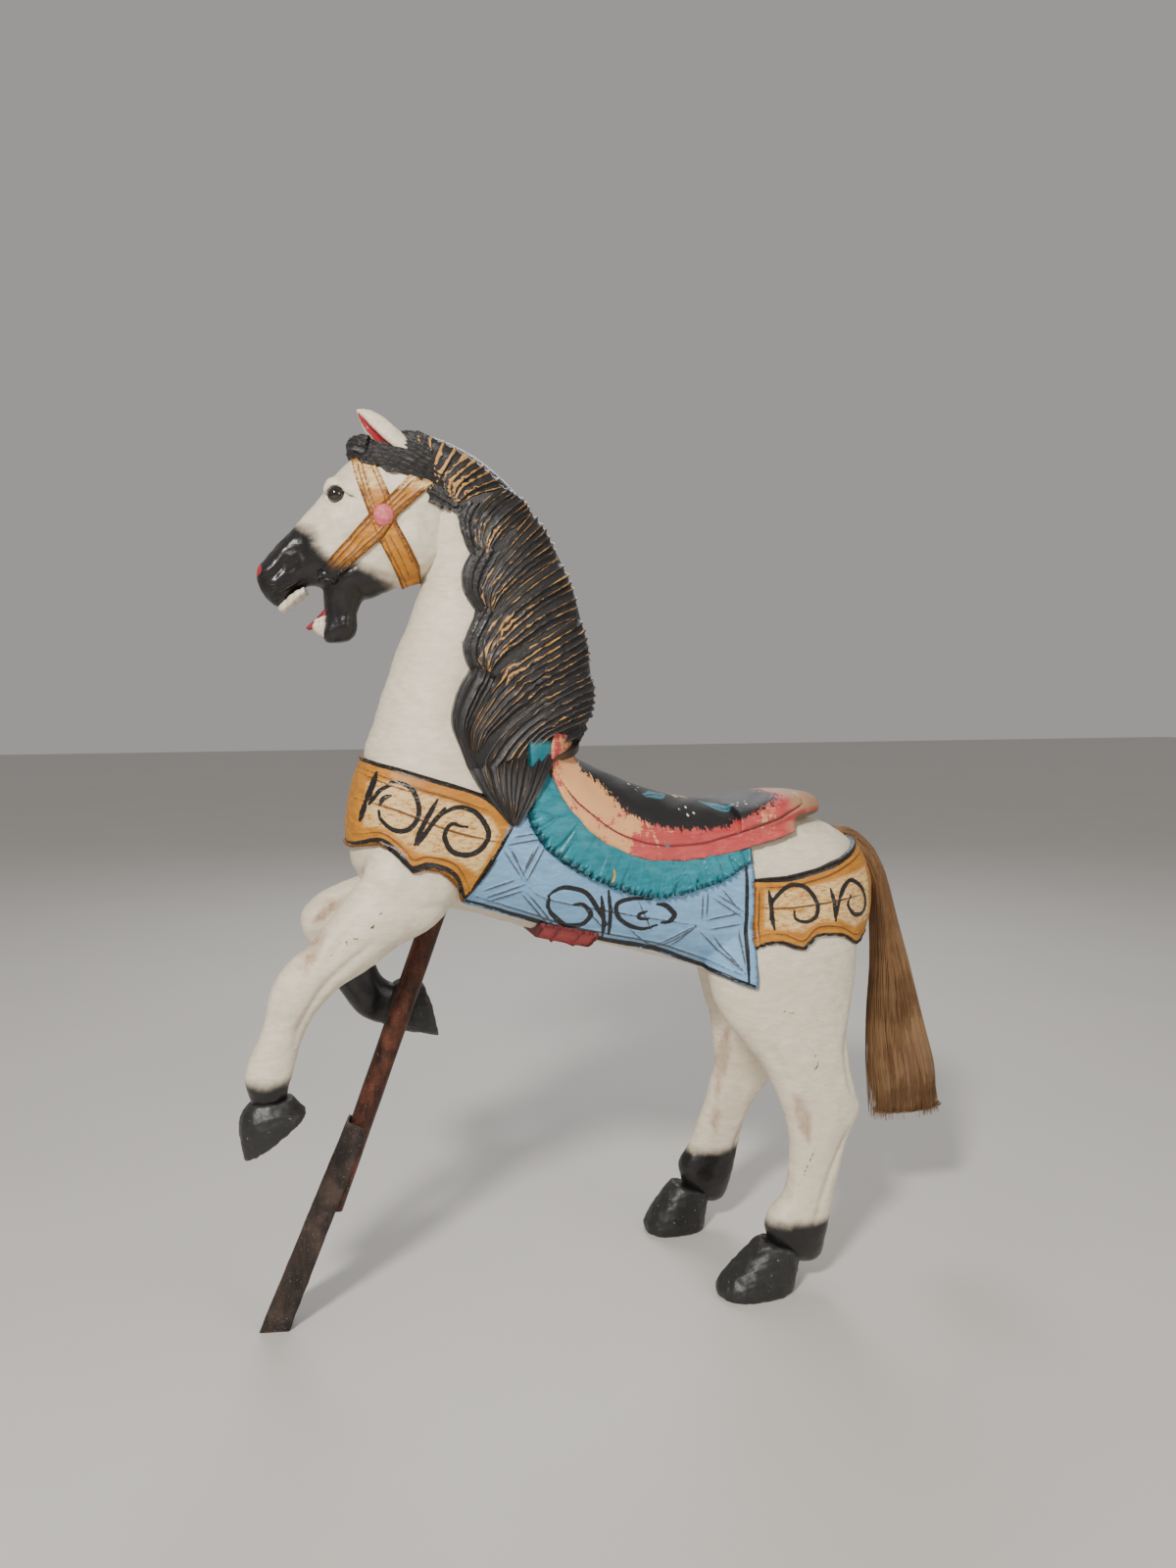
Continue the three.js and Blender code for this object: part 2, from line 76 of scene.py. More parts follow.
def stage():
    camera = bpy.data.cameras.new("camera")
    camera.sensor_width = 36
    camera.lens = 27.05
    camera.clip_start = 0.01
    eye = bpy.data.objects.new("camera", camera)
    bpy.context.scene.collection.objects.link(eye)
    eye.location = to_frame([[-330, -1300, 705]])[0]
    yaw, pitch = math.radians(17), math.radians(4.76)
    ahead = Vector((math.sin(yaw) * math.cos(pitch), math.cos(yaw) * math.cos(pitch), -math.sin(pitch)))
    eye.rotation_euler = ahead.to_track_quat("-Z", "Y").to_euler()
    bpy.context.scene.camera = eye

    def light(name, place, size, power, colour, target=(0, 0, 0.5)):
        data = bpy.data.lights.new(name, "AREA")
        data.shape = "DISK"
        data.size, data.energy, data.color = size, power, colour
        lamp = bpy.data.objects.new(name, data)
        lamp.location = place
        lamp.rotation_euler = (Vector(target) - Vector(place)).to_track_quat("-Z", "Y").to_euler()
        bpy.context.scene.collection.objects.link(lamp)

    light("key", (-1.5, -2.0, 2.3), 0.45, 98, (1, 0.96, 0.91))
    light("fill", (1.6, -2.2, 1.4), 1.6, 18, (1, 0.98, 0.96))
    light("back", (0.6, 2.2, 2.2), 1.4, 30, (0.98, 0.98, 1))
    world = bpy.data.worlds.new("room")
    world.use_nodes = True
    world.node_tree.nodes["Background"].inputs["Color"].default_value = (0.72, 0.70, 0.68, 1)
    world.node_tree.nodes["Background"].inputs["Strength"].default_value = 0.5
    bpy.context.scene.world = world

    floor = bpy.data.meshes.new("floor")
    far = 12
    floor.from_pydata([(-far, -far, 0), (far, -far, 0), (far, far, 0), (-far, far, 0)], [], [(0, 1, 2, 3)])
    floor.materials.append(plain("floor_paint", (0.62, 0.60, 0.57), 0.6))
    ground = bpy.data.objects.new("floor", floor)
    bpy.context.scene.collection.objects.link(ground)


# ---------------------------------------------------------------- surfaces


def curve(points, steps):
    """A smooth path through the points."""
    p = np.asarray(points, float)
    last = len(p) - 1
    at = np.arange(last)
    a, b, c, d = p[np.maximum(at - 1, 0)], p[:-1], p[1:], p[np.minimum(at + 2, last)]
    m0, m1 = (c - a) / 2, (d - b) / 2
    rows = []
    for t in np.arange(steps) / steps:
        rows.append((((2 * b - 2 * c + m0 + m1) * t - 3 * b + 3 * c - 2 * m0 - m1) * t + m0) * t + b)
    return np.vstack([np.stack(rows, 1).reshape(-1, p.shape[1]), p[-1:]])


def spaced(points, count, power=1.0):
    """A path at evenly spaced distances along it, or closer together near its start."""
    p = np.asarray(points, float)
    along = np.concatenate([[0], np.cumsum(np.linalg.norm(np.diff(p, axis=0), axis=1))])
    wanted = np.linspace(0, 1, count) ** power * along[-1]
    return np.stack([np.interp(wanted, along, p[:, k]) for k in range(p.shape[1])], 1)


def grid_faces(rows, columns, closed=False):
    """Two triangles for each cell of a grid of points, row after row."""
    across = columns if closed else columns - 1
    i, k = np.meshgrid(np.arange(rows - 1), np.arange(across), indexing="ij")
    a = i * columns + k
    b = i * columns + (k + 1) % columns
    c, d = a + columns, b + columns
    return np.concatenate([np.stack([a, b, c], -1).reshape(-1, 3), np.stack([b, d, c], -1).reshape(-1, 3)])


class Skin:
    """A closed surface of triangles that can be carved."""

    def __init__(self, points, faces):
        self.v = np.asarray(points, float)
        self.f = np.asarray(faces, int)
        self.around = None

    def normals(self):
        a, b, c = (self.v[self.f[:, k]] for k in range(3))
        face = np.cross(b - a, c - a)
        out = np.zeros_like(self.v)
        for k in range(3):
            for axis in range(3):
                out[:, axis] += np.bincount(self.f[:, k], face[:, axis], len(self.v))
        return out / np.maximum(np.linalg.norm(out, axis=1, keepdims=True), 1e-9)

    def average(self, values):
        """The mean over each point's neighbours."""
        if self.around is None:
            here = np.concatenate([self.f[:, k] for k in (0, 1, 2, 1, 2, 0)])
            there = np.concatenate([self.f[:, k] for k in (1, 2, 0, 0, 1, 2)])
            self.around = here, there, np.maximum(np.bincount(here, minlength=len(self.v)), 1)
        here, there, count = self.around
        if values.ndim == 1:
            return np.bincount(here, values[there], len(self.v)) / count
        return np.stack([self.average(values[:, k]) for k in range(values.shape[1])], 1)

    def smooth(self, weight, rounds):
        weight = np.broadcast_to(np.asarray(weight, float), len(self.v))[:, None]
        for _ in range(rounds):
            self.v += weight * (self.average(self.v) - self.v)

    def push(self, amount):
        self.v += self.normals() * np.asarray(amount, float)[:, None]

    def cavity(self, reach=3):
        """How hollow the surface is at each point: positive in a groove, negative on a ridge."""
        hollow = ((self.average(self.v) - self.v) * self.normals()).sum(1)
        for _ in range(reach):
            hollow = self.average(hollow)
        return hollow

    def side(self):
        return self.v[:, [0, 2]]

    def object(self, name="scratch"):
        mesh = bpy.data.meshes.new(name)
        mesh.vertices.add(len(self.v))
        mesh.vertices.foreach_set("co", self.v.astype(np.float32).ravel())
        mesh.loops.add(self.f.size)
        mesh.loops.foreach_set("vertex_index", self.f.ravel().astype(np.int32))
        mesh.polygons.add(len(self.f))
        mesh.polygons.foreach_set("loop_start", np.arange(0, self.f.size, 3, dtype=np.int32))
        mesh.update(calc_edges=True)
        mesh.validate()
        made = bpy.data.objects.new(name, mesh)
        bpy.context.scene.collection.objects.link(made)
        return made


def taken(scratch, *others):
    """The finished mesh of an object with modifiers, as a Skin; the objects go."""
    graph = bpy.context.evaluated_depsgraph_get()
    mesh = bpy.data.meshes.new_from_object(scratch.evaluated_get(graph))
    mesh.calc_loop_triangles()
    points = np.empty(len(mesh.vertices) * 3, np.float32)
    mesh.vertices.foreach_get("co", points)
    faces = np.empty(len(mesh.loop_triangles) * 3, np.int32)
    mesh.loop_triangles.foreach_get("vertices", faces)
    for made in (scratch, *others):
        bpy.data.objects.remove(made)
    bpy.data.meshes.remove(mesh)
    return Skin(points.reshape(-1, 3), faces.reshape(-1, 3))


def joined(*skins):
    start = np.cumsum([0] + [len(s.v) for s in skins])
    return Skin(np.vstack([s.v for s in skins]), np.vstack([s.f + at for s, at in zip(skins, start)]))


def melted(skins, voxel):
    """Closed skins as one skin of even cells."""
    scratch = joined(*skins).object()
    remesh = scratch.modifiers.new("melt", "REMESH")
    remesh.mode = "VOXEL"
    remesh.voxel_size = voxel
    return taken(scratch)


def loft(rows, sides=40, steps=5, proud=0.0, square=2.2):
    """Rings through rows of [front x, front z, back x, back z, centre y, half width], closed at the ends."""
    rings = curve(rows, steps)
    middle, reach = (rings[:, 0:2] + rings[:, 2:4]) / 2, (rings[:, 0:2] - rings[:, 2:4]) / 2
    length = np.maximum(np.linalg.norm(reach, axis=1, keepdims=True), 1e-6)
    reach = reach * (length + proud) / length
    angle = 2 * math.pi * np.arange(sides) / sides
    along, across = (np.sign(v) * np.abs(v) ** (2 / square) for v in (np.cos(angle), np.sin(angle)))
    side = middle[:, None] + reach[:, None] * along[None, :, None]
    y = rings[:, 4, None] + (rings[:, 5, None] + proud) * across
    points = np.stack([side[..., 0], y, side[..., 1]], -1).reshape(-1, 3)
    ends = [[middle[i, 0], rings[i, 4], middle[i, 1]] for i in (0, -1)]
    first = len(points)
    k = np.arange(sides)
    last_row = (len(rings) - 1) * sides
    caps = [
        np.stack([np.full(sides, first), (k + 1) % sides, k], 1),
        np.stack([np.full(sides, first + 1), last_row + k, last_row + (k + 1) % sides], 1),
    ]
    skin = Skin(np.vstack([points, ends]), np.vstack([grid_faces(len(rings), sides, True), *caps]))
    return outward(skin)


def outward(skin):
    a, b, c = (skin.v[skin.f[:, k]] for k in range(3))
    if (np.cross(a, b) * c).sum() < 0:
        skin.f = skin.f[:, ::-1]
    return skin


def prism(outline, near=-160, far=160):
    """A block with the outline in side view."""
    p = np.asarray(outline, float)
    n = len(p)
    points = np.vstack([np.insert(p, 1, y, axis=1) for y in (near, far)])
    mesh = bpy.data.meshes.new("block")
    walls = [(i, (i + 1) % n, n + (i + 1) % n, n + i) for i in range(n)]
    mesh.from_pydata(points.tolist(), [], [tuple(range(n))[::-1], tuple(range(n, 2 * n)), *walls])
    area = (p[:, 0] * np.roll(p[:, 1], -1) - p[:, 1] * np.roll(p[:, 0], -1)).sum()
    if area < 0:
        mesh.flip_normals()
    made = bpy.data.objects.new("block", mesh)
    bpy.context.scene.collection.objects.link(made)
    return made


def cut(skin, outline, operation="INTERSECT"):
    """What of the skin lies inside the outline."""
    scratch, block = skin.object(), prism(outline)
    boolean = scratch.modifiers.new("cut", "BOOLEAN")
    boolean.operation, boolean.solver, boolean.object = operation, "MANIFOLD", block
    return taken(scratch, block)


def distance(p, path, margin=14.0):
    """How far each side-view point is from the path, and where along it (0 to 1) its nearest point is."""
    path = np.asarray(path, float)
    best, along = np.full(len(p), 99.0), np.zeros(len(p))
    low, high = path.min(0) - margin, path.max(0) + margin
    near = np.nonzero(((p > low) & (p < high)).all(1))[0]
    q = p[near]
    r, t = np.full(len(q), 99.0), np.zeros(len(q))
    lengths = np.linalg.norm(np.diff(path, axis=0), axis=1)
    total, at = max(lengths.sum(), 1e-9), 0.0
    for a, b, length in zip(path[:-1], path[1:], lengths):
        step = b - a
        u = np.clip(((q - a) @ step) / max(length**2, 1e-9), 0, 1)
        d = np.linalg.norm(q - a - u[:, None] * step, axis=1)
        closer = d < r
        r[closer], t[closer] = d[closer], (at + u[closer] * length) / total
        at += length
    best[near], along[near] = r, t
    return best, along


def brush(p, points, width, taper=0.25, steps=6):
    """Signed distance to a brush stroke that thins towards its ends: negative inside."""
    d, t = distance(p, curve(points, steps))
    swell = np.clip(np.minimum(t, 1 - t) / taper, 0.15, 1) ** 0.5
    return d - width / 2 * swell


def brushes(p, strokes, taper=0.25):
    """The nearest of many strokes, each a width and its points."""
    return np.minimum.reduce([brush(p, points, width, taper) for width, *points in strokes])


def inside(p, outline):
    """Signed distance to a closed outline: negative inside."""
    q = np.asarray(outline, float)
    d, _ = distance(p, np.vstack([q, q[:1]]), 60)
    x, z = p.T
    odd = np.zeros(len(p), bool)
    for (x0, z0), (x1, z1) in zip(q, np.roll(q, -1, axis=0)):
        if z0 != z1:
            odd ^= ((z0 > z) != (z1 > z)) & (x < (x1 - x0) * (z - z0) / (z1 - z0) + x0)
    return np.where(odd, -d, d)


def bump(d, width):
    return np.exp(-((d / width) ** 2))


def ramp(value, low, high):
    t = np.clip((value - low) / (high - low), 0, 1)
    return t * t * (3 - 2 * t)


def piece(name, skin, material, replaced, masks=None, flow=None, crisp=50):
    """A finished piece: the skin in the frame, with its masks as attributes."""
    made = Skin(to_frame(skin.v), skin.f).object(name)
    mesh = made.data
    for label, values in (masks or {}).items():
        layer = mesh.attributes.new(label, "FLOAT", "POINT")
        layer.data.foreach_set("value", np.asarray(values, np.float32))
    if flow is not None:
        layer = mesh.uv_layers.new(name="flow")
        corners = np.empty(len(mesh.loops), np.int32)
        mesh.loops.foreach_get("vertex_index", corners)
        layer.data.foreach_set("uv", np.asarray(flow, np.float32)[corners].ravel())
    mesh.polygons.foreach_set("use_smooth", np.ones(len(mesh.polygons), bool))
    mesh.set_sharp_from_angle(angle=math.radians(crisp))
    mesh.materials.append(material)
    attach(made, "root")
    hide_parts(replaced)
    return made


# ---------------------------------------------------------------- shader kit


class Shader:
    """Writes a node tree in expressions: a value is a number, a colour or another node's socket."""

    def __init__(self, tree):
        self.tree = tree

    def put(self, value, socket):
        if isinstance(value, bpy.types.NodeSocket):
            self.tree.links.new(value, socket)
        elif isinstance(value, tuple) and len(value) == 3 and socket.type == "RGBA":
            socket.default_value = (*value, 1)
        else:
            socket.default_value = value

    def node(self, kind, inputs=(), **settings):
        made = self.tree.nodes.new("ShaderNode" + kind)
        for key, value in settings.items():
            setattr(made, key, value)
        for key, value in dict(inputs).items():
            self.put(value, made.inputs[key])
        return made

    def math(self, operation, a, b=0.0, clamp=False):
        return self.node("Math", {0: a, 1: b}, operation=operation, use_clamp=clamp).outputs[0]

    def mix(self, factor, a, b, blend="MIX"):
        made = self.node("Mix", data_type="RGBA", blend_type=blend, clamp_factor=True)
        for value, socket in ((factor, 0), (a, 6), (b, 7)):
            self.put(value, made.inputs[socket])
        return made.outputs[2]

    def blend(self, factor, a, b):
        made = self.node("Mix", data_type="FLOAT", clamp_factor=True)
        for value, socket in ((factor, 0), (a, 2), (b, 3)):
            self.put(value, made.inputs[socket])
        return made.outputs[0]

    def ramp(self, value, low, high, start=0.0, end=1.0):
        """start at the low value, end at the high one, and a smooth step between."""
        inputs = {"Value": value, "From Min": low, "From Max": high, "To Min": start, "To Max": end}
        made = self.node("MapRange", inputs, interpolation_type="SMOOTHSTEP")
        return made.outputs["Result"]

    def mask(self, name):
        return self.node("Attribute", attribute_name=name).outputs["Fac"]

    def place(self, scale=(1, 1, 1), turn=(0, 0, 0), source="Object"):
        """Object coordinates, or the flow map's, stretched and turned."""
        if source == "flow":
            start = self.node("UVMap", uv_map="flow").outputs["UV"]
        else:
            start = self.node("TexCoord").outputs[source]
        made = self.node("Mapping", {"Vector": start, "Scale": scale, "Rotation": turn})
        return made.outputs["Vector"]

    def noise(self, where, scale, detail=3.0, rough=0.55, warp=0.0):
        inputs = {"Vector": where, "Scale": scale, "Detail": detail, "Roughness": rough, "Distortion": warp}
        return self.node("TexNoise", inputs).outputs["Fac"]


def group(name, inputs, outputs, build):
    """A shader node group, with the default of each input."""
    tree = bpy.data.node_groups.new(name, "ShaderNodeTree")
    for label, value in inputs.items():
        kind = "NodeSocketColor" if isinstance(value, tuple) else "NodeSocketFloat"
        socket = tree.interface.new_socket(label, in_out="INPUT", socket_type=kind)
        socket.default_value = (*value, 1) if isinstance(value, tuple) else value
    for label, kind in outputs.items():
        tree.interface.new_socket(label, in_out="OUTPUT", socket_type="NodeSocket" + kind)
    shader = Shader(tree)
    taken_in = tree.nodes.new("NodeGroupInput").outputs
    given = tree.nodes.new("NodeGroupOutput").inputs
    for label, value in build(shader, {label: taken_in[label] for label in inputs}).items():
        shader.put(value, given[label])
    return tree


def use(shader, tree, **inputs):
    made = shader.node("Group", node_tree=tree)
    for label, value in inputs.items():
        shader.put(value, made.inputs[label.replace("_", " ")])
    return made.outputs


def aged_paint():
    """Hand-brushed oil paint on carved wood: brush marks, yellowing, dirt and painted shade in the hollows,
    worn ridges.
    """

    def build(s, given):
        where = s.place()
        streaks = s.noise(s.place((1, 1, 3.5), (0.2, 0.5, 0.1)), 55, 4, 0.65, 0.6)
        cloud = s.noise(where, 9, 3, 0.6)
        speck = s.noise(where, 420, 2, 0.6)
        hollow = given["Cavity"]
        colour = s.mix(s.ramp(streaks, 0.3, 0.75), given["Shade"], given["Paint"])
        colour = s.mix(s.math("MULTIPLY", s.ramp(cloud, 0.42, 0.72), 0.45), colour, given["Shade"])
        # Darker in the hollows, where the cavity mask is high: painted shade, with clouded dirt mixed in; the
        # specks are dirt.
        grime_and_shade = s.math("ADD", hollow, s.math("MULTIPLY", s.math("SUBTRACT", cloud, 0.5), 0.25))
        grime_and_shade = s.math("MULTIPLY", s.ramp(grime_and_shade, 0.02, 0.28), given["Grime and shade"])
        colour = s.mix(grime_and_shade, colour, given["Grime and shade colour"])
        dots = s.math("MULTIPLY", s.ramp(speck, 0.66, 0.72), s.math("MULTIPLY", given["Grime and shade"], 0.5))
        colour = s.mix(dots, colour, given["Grime and shade colour"])
        ridge = s.math("ADD", s.math("MULTIPLY", hollow, -1), s.math("MULTIPLY", s.math("SUBTRACT", speck,
            0.5), 0.5))
        worn = s.math("MULTIPLY", s.ramp(ridge, 0.16, 0.4), given["Wear"])
        colour = s.mix(worn, colour, given["Wear colour"])
        height = s.math("ADD", s.math("MULTIPLY", streaks, 0.7), s.math("MULTIPLY", speck, 0.3))
        height = s.math("SUBTRACT", height, s.math("MULTIPLY", worn, 0.5))
        rough = s.math("ADD", s.math("MULTIPLY", streaks, 0.16), s.math("MULTIPLY", grime_and_shade, 0.18))
        return {"Colour": colour, "Height": height, "Roughness": rough, "Streaks": streaks}

    inputs = {
        "Paint": (0.8, 0.7, 0.55),
        "Shade": (0.7, 0.6, 0.45),
        "Cavity": 0.0,
        "Grime and shade": 0.6,
        "Grime and shade colour": (0.2, 0.12, 0.07),
        "Wear": 0.5,
        "Wear colour": (0.75, 0.62, 0.45),
    }
    outputs = {"Colour": "Color", "Height": "Float", "Roughness": "Float", "Streaks": "Float"}
    return group("aged_paint", inputs, outputs, build)


def drawn_line():
    """Thick paint over a line: its edge is a little ragged, and thin spots let the ground show."""

    def build(s, given):
        where = s.place()
        ragged = s.math("SUBTRACT", s.noise(where, 260, 3, 0.6), 0.5)
        thin = s.noise(s.place((1, 1, 2.5), (0, 0.6, 0)), 190, 3, 0.6)
        edge = s.math("ADD", given["Distance"], s.math("MULTIPLY", ragged, given["Ragged"]))
        mask = s.ramp(edge, -0.35, 0.35, 1, 0)
        bare = s.math("MULTIPLY", s.ramp(thin, 0.62, 0.72), given["Thin"])
        return {"Mask": s.math("SUBTRACT", mask, bare, clamp=True)}

    return group("drawn_line", {"Distance": 9.0, "Ragged": 1.6, "Thin": 0.5}, {"Mask": "Float"}, build)


PAINT = aged_paint()
LINE = drawn_line()


def material(name, build, **constants):
    """A material whose build() gives what changes over the surface; the constants are the same all over."""
    made = bpy.data.materials.new(name)
    made.use_nodes = True
    shader = Shader(made.node_tree)
    principled = made.node_tree.nodes["Principled BSDF"]
    for label, value in constants.items():
        shader.put(value, principled.inputs[label.replace("_", " ")])
    varied = build(shader)
    height, depth = varied.pop("Height", None), varied.pop("Depth", 0.0006)
    for label, value in varied.items():
        shader.put(value, principled.inputs[label])
    if height is not None:
        relief = shader.node("Bump", {"Height": height, "Distance": depth, "Strength": 1.0})
        shader.put(relief.outputs["Normal"], principled.inputs["Normal"])
    return made


def plain(name, colour, roughness):
    """A lightly clouded surface."""

    def build(s):
        cloud = s.noise(s.place(), 3, 3)
        darker = tuple(v * 0.92 for v in colour)
        return {"Base Color": s.mix(cloud, colour, darker)}

    return material(name, build, Roughness=roughness)


def painted(name, build, **constants):
    """Aged paint: build() gives the paint group's inputs, and what lies over it."""

    def whole(s):
        given = build(s)
        over = given.pop("over", [])
        base = given.pop("rough", 0.42)
        out = use(s, PAINT, Cavity=s.mask("cavity"), **given)
        colour, rough = out["Colour"], s.math("ADD", out["Roughness"], base)
        for mask, paint, gloss in over:
            colour = s.mix(mask, colour, paint)
            rough = s.blend(mask, rough, gloss)
        return {"Base Color": colour, "Roughness": rough, "Height": out["Height"], "Depth": 0.0005}

    return material(name, whole, **constants)


BLACK = (0.012, 0.011, 0.011)


def line(s, name, ragged=1.6, thin=0.5):
    return use(s, LINE, Distance=s.mask(name), Ragged=ragged, Thin=thin)["Mask"]


def cream_paint():
    def build(s):
        patchy = s.math("MULTIPLY", s.math("SUBTRACT", s.noise(s.place(), 38, 4, 0.65), 0.5), 14)
        black = s.ramp(s.math("ADD", s.mask("black"), patchy), -7, 9, 1, 0)
        brown = s.ramp(s.math("ADD", s.mask("brown"), patchy), -4, 5, 0.75, 0)
        scuffed = s.ramp(s.noise(s.place((1, 1, 0.35)), 120, 4, 0.7), 0.45, 0.62)
        brown = s.math("MULTIPLY", brown, s.blend(scuffed, 0.55, 1.0))
        over = [
            (brown, (0.33, 0.17, 0.085), 0.55),
            (black, BLACK, 0.3),
            # dark brown lines: cracks on the body, the eye's lid line, and painted shadow in the crease under
            # the brow
            (line(s, "crack_and_crease_shade", 2.2, 0.9), (0.1, 0.06, 0.035), 0.7),
            (s.ramp(s.mask("red"), -1, 1, 1, 0), (0.36, 0.02, 0.03), 0.4),
        ]
        return {
            "Paint": (0.83, 0.74, 0.585),
            "Shade": (0.70, 0.605, 0.45),
            "Grime and shade": 0.55,
            "Grime_and_shade_colour": (0.30, 0.17, 0.09),
            "Wear": 0.35,
            "Wear_colour": (0.88, 0.80, 0.66),
            "over": over,
        }

    return painted("cream_paint", build)


def ochre_paint():
    def build(s):
        worn = s.noise(s.place((1, 1, 3), (0, 0.35, 0)), 120, 5, 0.75, 0.4)
        panel = s.math("MULTIPLY", s.ramp(s.mask("panel"), -3, 3, 1, 0), s.ramp(worn, 0.36, 0.56))
        over = [
            (panel, (0.79, 0.555, 0.25), 0.55),
            (line(s, "cut", 1.2, 0.2), (0.17, 0.06, 0.008), 0.55),
            (line(s, "ink"), BLACK, 0.35),
            (s.ramp(s.mask("black"), -10, 12, 1, 0), BLACK, 0.3),
        ]
        return {
            "Paint": (0.62, 0.265, 0.022),
            "Shade": (0.42, 0.155, 0.008),
            "Grime and shade": 0.75,
            "Grime_and_shade_colour": (0.13, 0.045, 0.008),
            "Wear": 0.6,
            "Wear_colour": (0.83, 0.50, 0.16),
            "over": over,
        }

    return painted("ochre_paint", build)


def blue_paint():
    def build(s):
        over = [
            (line(s, "cut", 1.4, 0.5), (0.075, 0.09, 0.10), 0.6),
            (line(s, "ink", 1.4, 0.3), BLACK, 0.35),
        ]
        return {
            "Paint": (0.26, 0.48, 0.73),
            "Shade": (0.17, 0.35, 0.56),
            "Grime and shade": 0.5,
            "Grime_and_shade_colour": (0.07, 0.10, 0.12),
            "Wear": 0.4,
            "Wear_colour": (0.5, 0.68, 0.84),
            "over": over,
        }

    return painted("blue_paint", build)


def teal_paint():
    def build(s):
        over = [(line(s, "ink", 1.4, 0.6), (0.6, 0.33, 0.06), 0.5)]
        return {
            "Paint": (0.018, 0.27, 0.34),
            "Shade": (0.01, 0.175, 0.22),
            "Grime and shade": 0.85,
            "Grime_and_shade_colour": (0.006, 0.06, 0.075),
            "Wear": 0.75,
            "Wear_colour": (0.13, 0.45, 0.52),
            "over": over,
            "rough": 0.3,
        }

    return painted("teal_paint", build)


def saddle_paint():
    def build(s):
        scratch = s.noise(s.place((1, 1, 0.12), (0, 0.9, 0)), 150, 5, 0.8, 0.5)
        cross = s.noise(s.place((0.12, 1, 1), (0, 0.5, 0)), 130, 5, 0.8, 0.3)
        cloud = s.noise(s.place(), 16, 3, 0.6)
        dry = s.math("ADD", s.math("MULTIPLY", scratch, 0.5), s.math("MULTIPLY", cross, 0.5))
        dry = s.math("ADD", dry, s.math("MULTIPLY", s.math("SUBTRACT", cloud, 0.5), 0.55))
        dry = s.math("ADD", dry, s.math("MULTIPLY", s.mask("ochre"), 0.15))
        fur = s.noise(s.place((1, 0.6, 0.12)), 330, 3, 0.7)
        fur = s.math("MULTIPLY", s.math("SUBTRACT", fur, 0.5), 26)
        over = [
            (s.ramp(dry, 0.57, 0.63, 0, 0.9), (0.80, 0.42, 0.17), 0.55),
            (s.ramp(s.mask("tan"), 0.2, 0.9), (0.42, 0.24, 0.13), 0.5),
            # painted shade: dark brown on the downward faces at the back of the saddle, under the cantle
            (s.ramp(s.mask("shade_under"), 0, 1), (0.17, 0.11, 0.07), 0.6),
            (s.ramp(s.math("ADD", s.mask("fur"), fur), -0.8, 0.8, 1, 0), BLACK, 0.6),
            (line(s, "cut", 1.0, 0.1), (0.18, 0.018, 0.02), 0.5),
            (line(s, "petal", 1.6, 0.3), (0.55, 0.33, 0.13), 0.5),
            (line(s, "leaf", 1.6, 0.5), (0.03, 0.17, 0.22), 0.5),
            (line(s, "dot", 0.6, 0.0), (0.85, 0.82, 0.72), 0.5),
        ]
        return {
            "Paint": (0.62, 0.095, 0.085),
            "Shade": (0.46, 0.05, 0.05),
            "Grime and shade": 0.6,
            "Grime_and_shade_colour": (0.12, 0.02, 0.02),
            "Wear": 0.5,
            "Wear_colour": (0.80, 0.32, 0.24),
            "over": over,
        }

    return painted("saddle_paint", build)


def mane_paint():
    def build(s):
        strands = s.noise(s.place((900, 60, 1), source="flow"), 1, 4, 0.7)
        breaks = s.noise(s.place((260, 36, 1), source="flow"), 1, 3, 0.6)
        grit = s.noise(s.place(), 500, 2, 0.7)
        ridge = s.math("ADD", s.mask("ridge"), s.math("MULTIPLY", s.math("SUBTRACT", breaks, 0.5), 1.3))
        ridge = s.math("ADD", ridge, s.math("MULTIPLY", s.math("SUBTRACT", grit, 0.5), 0.5))
        ridge = s.math("ADD", ridge, s.mask("gold"))
        gold = s.ramp(ridge, 1.06, 1.2)
        grey = s.ramp(s.math("ADD", s.mask("ridge"), s.math("MULTIPLY", strands, 0.7)), 0.8, 1.4, 0, 0.55)
        colour = s.mix(strands, (0.009, 0.008, 0.008), (0.03, 0.027, 0.026))
        colour = s.mix(grey, colour, (0.085, 0.078, 0.075))
        warm = s.mix(s.noise(s.place(), 30, 2), (0.50, 0.22, 0.035), (0.62, 0.36, 0.12))
        colour = s.mix(gold, colour, warm)
        rough = s.math("ADD", 0.3, s.math("MULTIPLY", s.math("ADD", strands, gold), 0.2))
        return {"Base Color": colour, "Roughness": rough, "Height": strands, "Depth": 0.0009}

    return material("mane_paint", build)


def black_paint(name="black_paint", gloss=0.32):
    def build(s):
        where = s.place()
        brushed = s.noise(s.place((1, 1, 0.3)), 140, 4, 0.7)
        specks = s.ramp(s.noise(where, 330, 2, 0.5), 0.7, 0.74)
        ridge = s.ramp(s.mask("cavity"), -0.08, -0.35, 0, 0.5)
        colour = s.mix(brushed, (0.010, 0.010, 0.010), (0.024, 0.023, 0.022))
        colour = s.mix(ridge, colour, (0.07, 0.066, 0.06))
        colour = s.mix(s.math("MULTIPLY", specks, 0.7), colour, (0.35, 0.33, 0.3))
        rough = s.math("ADD", gloss, s.math("MULTIPLY", brushed, 0.25))
        return {"Base Color": colour, "Roughness": rough, "Height": brushed, "Depth": 0.0006}

    return material(name, build)


def simple_paint(name, paint, shade, grime_and_shade, wear, rough=0.42):
    def build(s):
        return {
            "Paint": paint,
            "Shade": shade,
            "Grime and shade": 0.8,
            "Grime_and_shade_colour": grime_and_shade,
            "Wear": 0.6,
            "Wear_colour": wear,
            "rough": rough,
        }

    return painted(name, build)


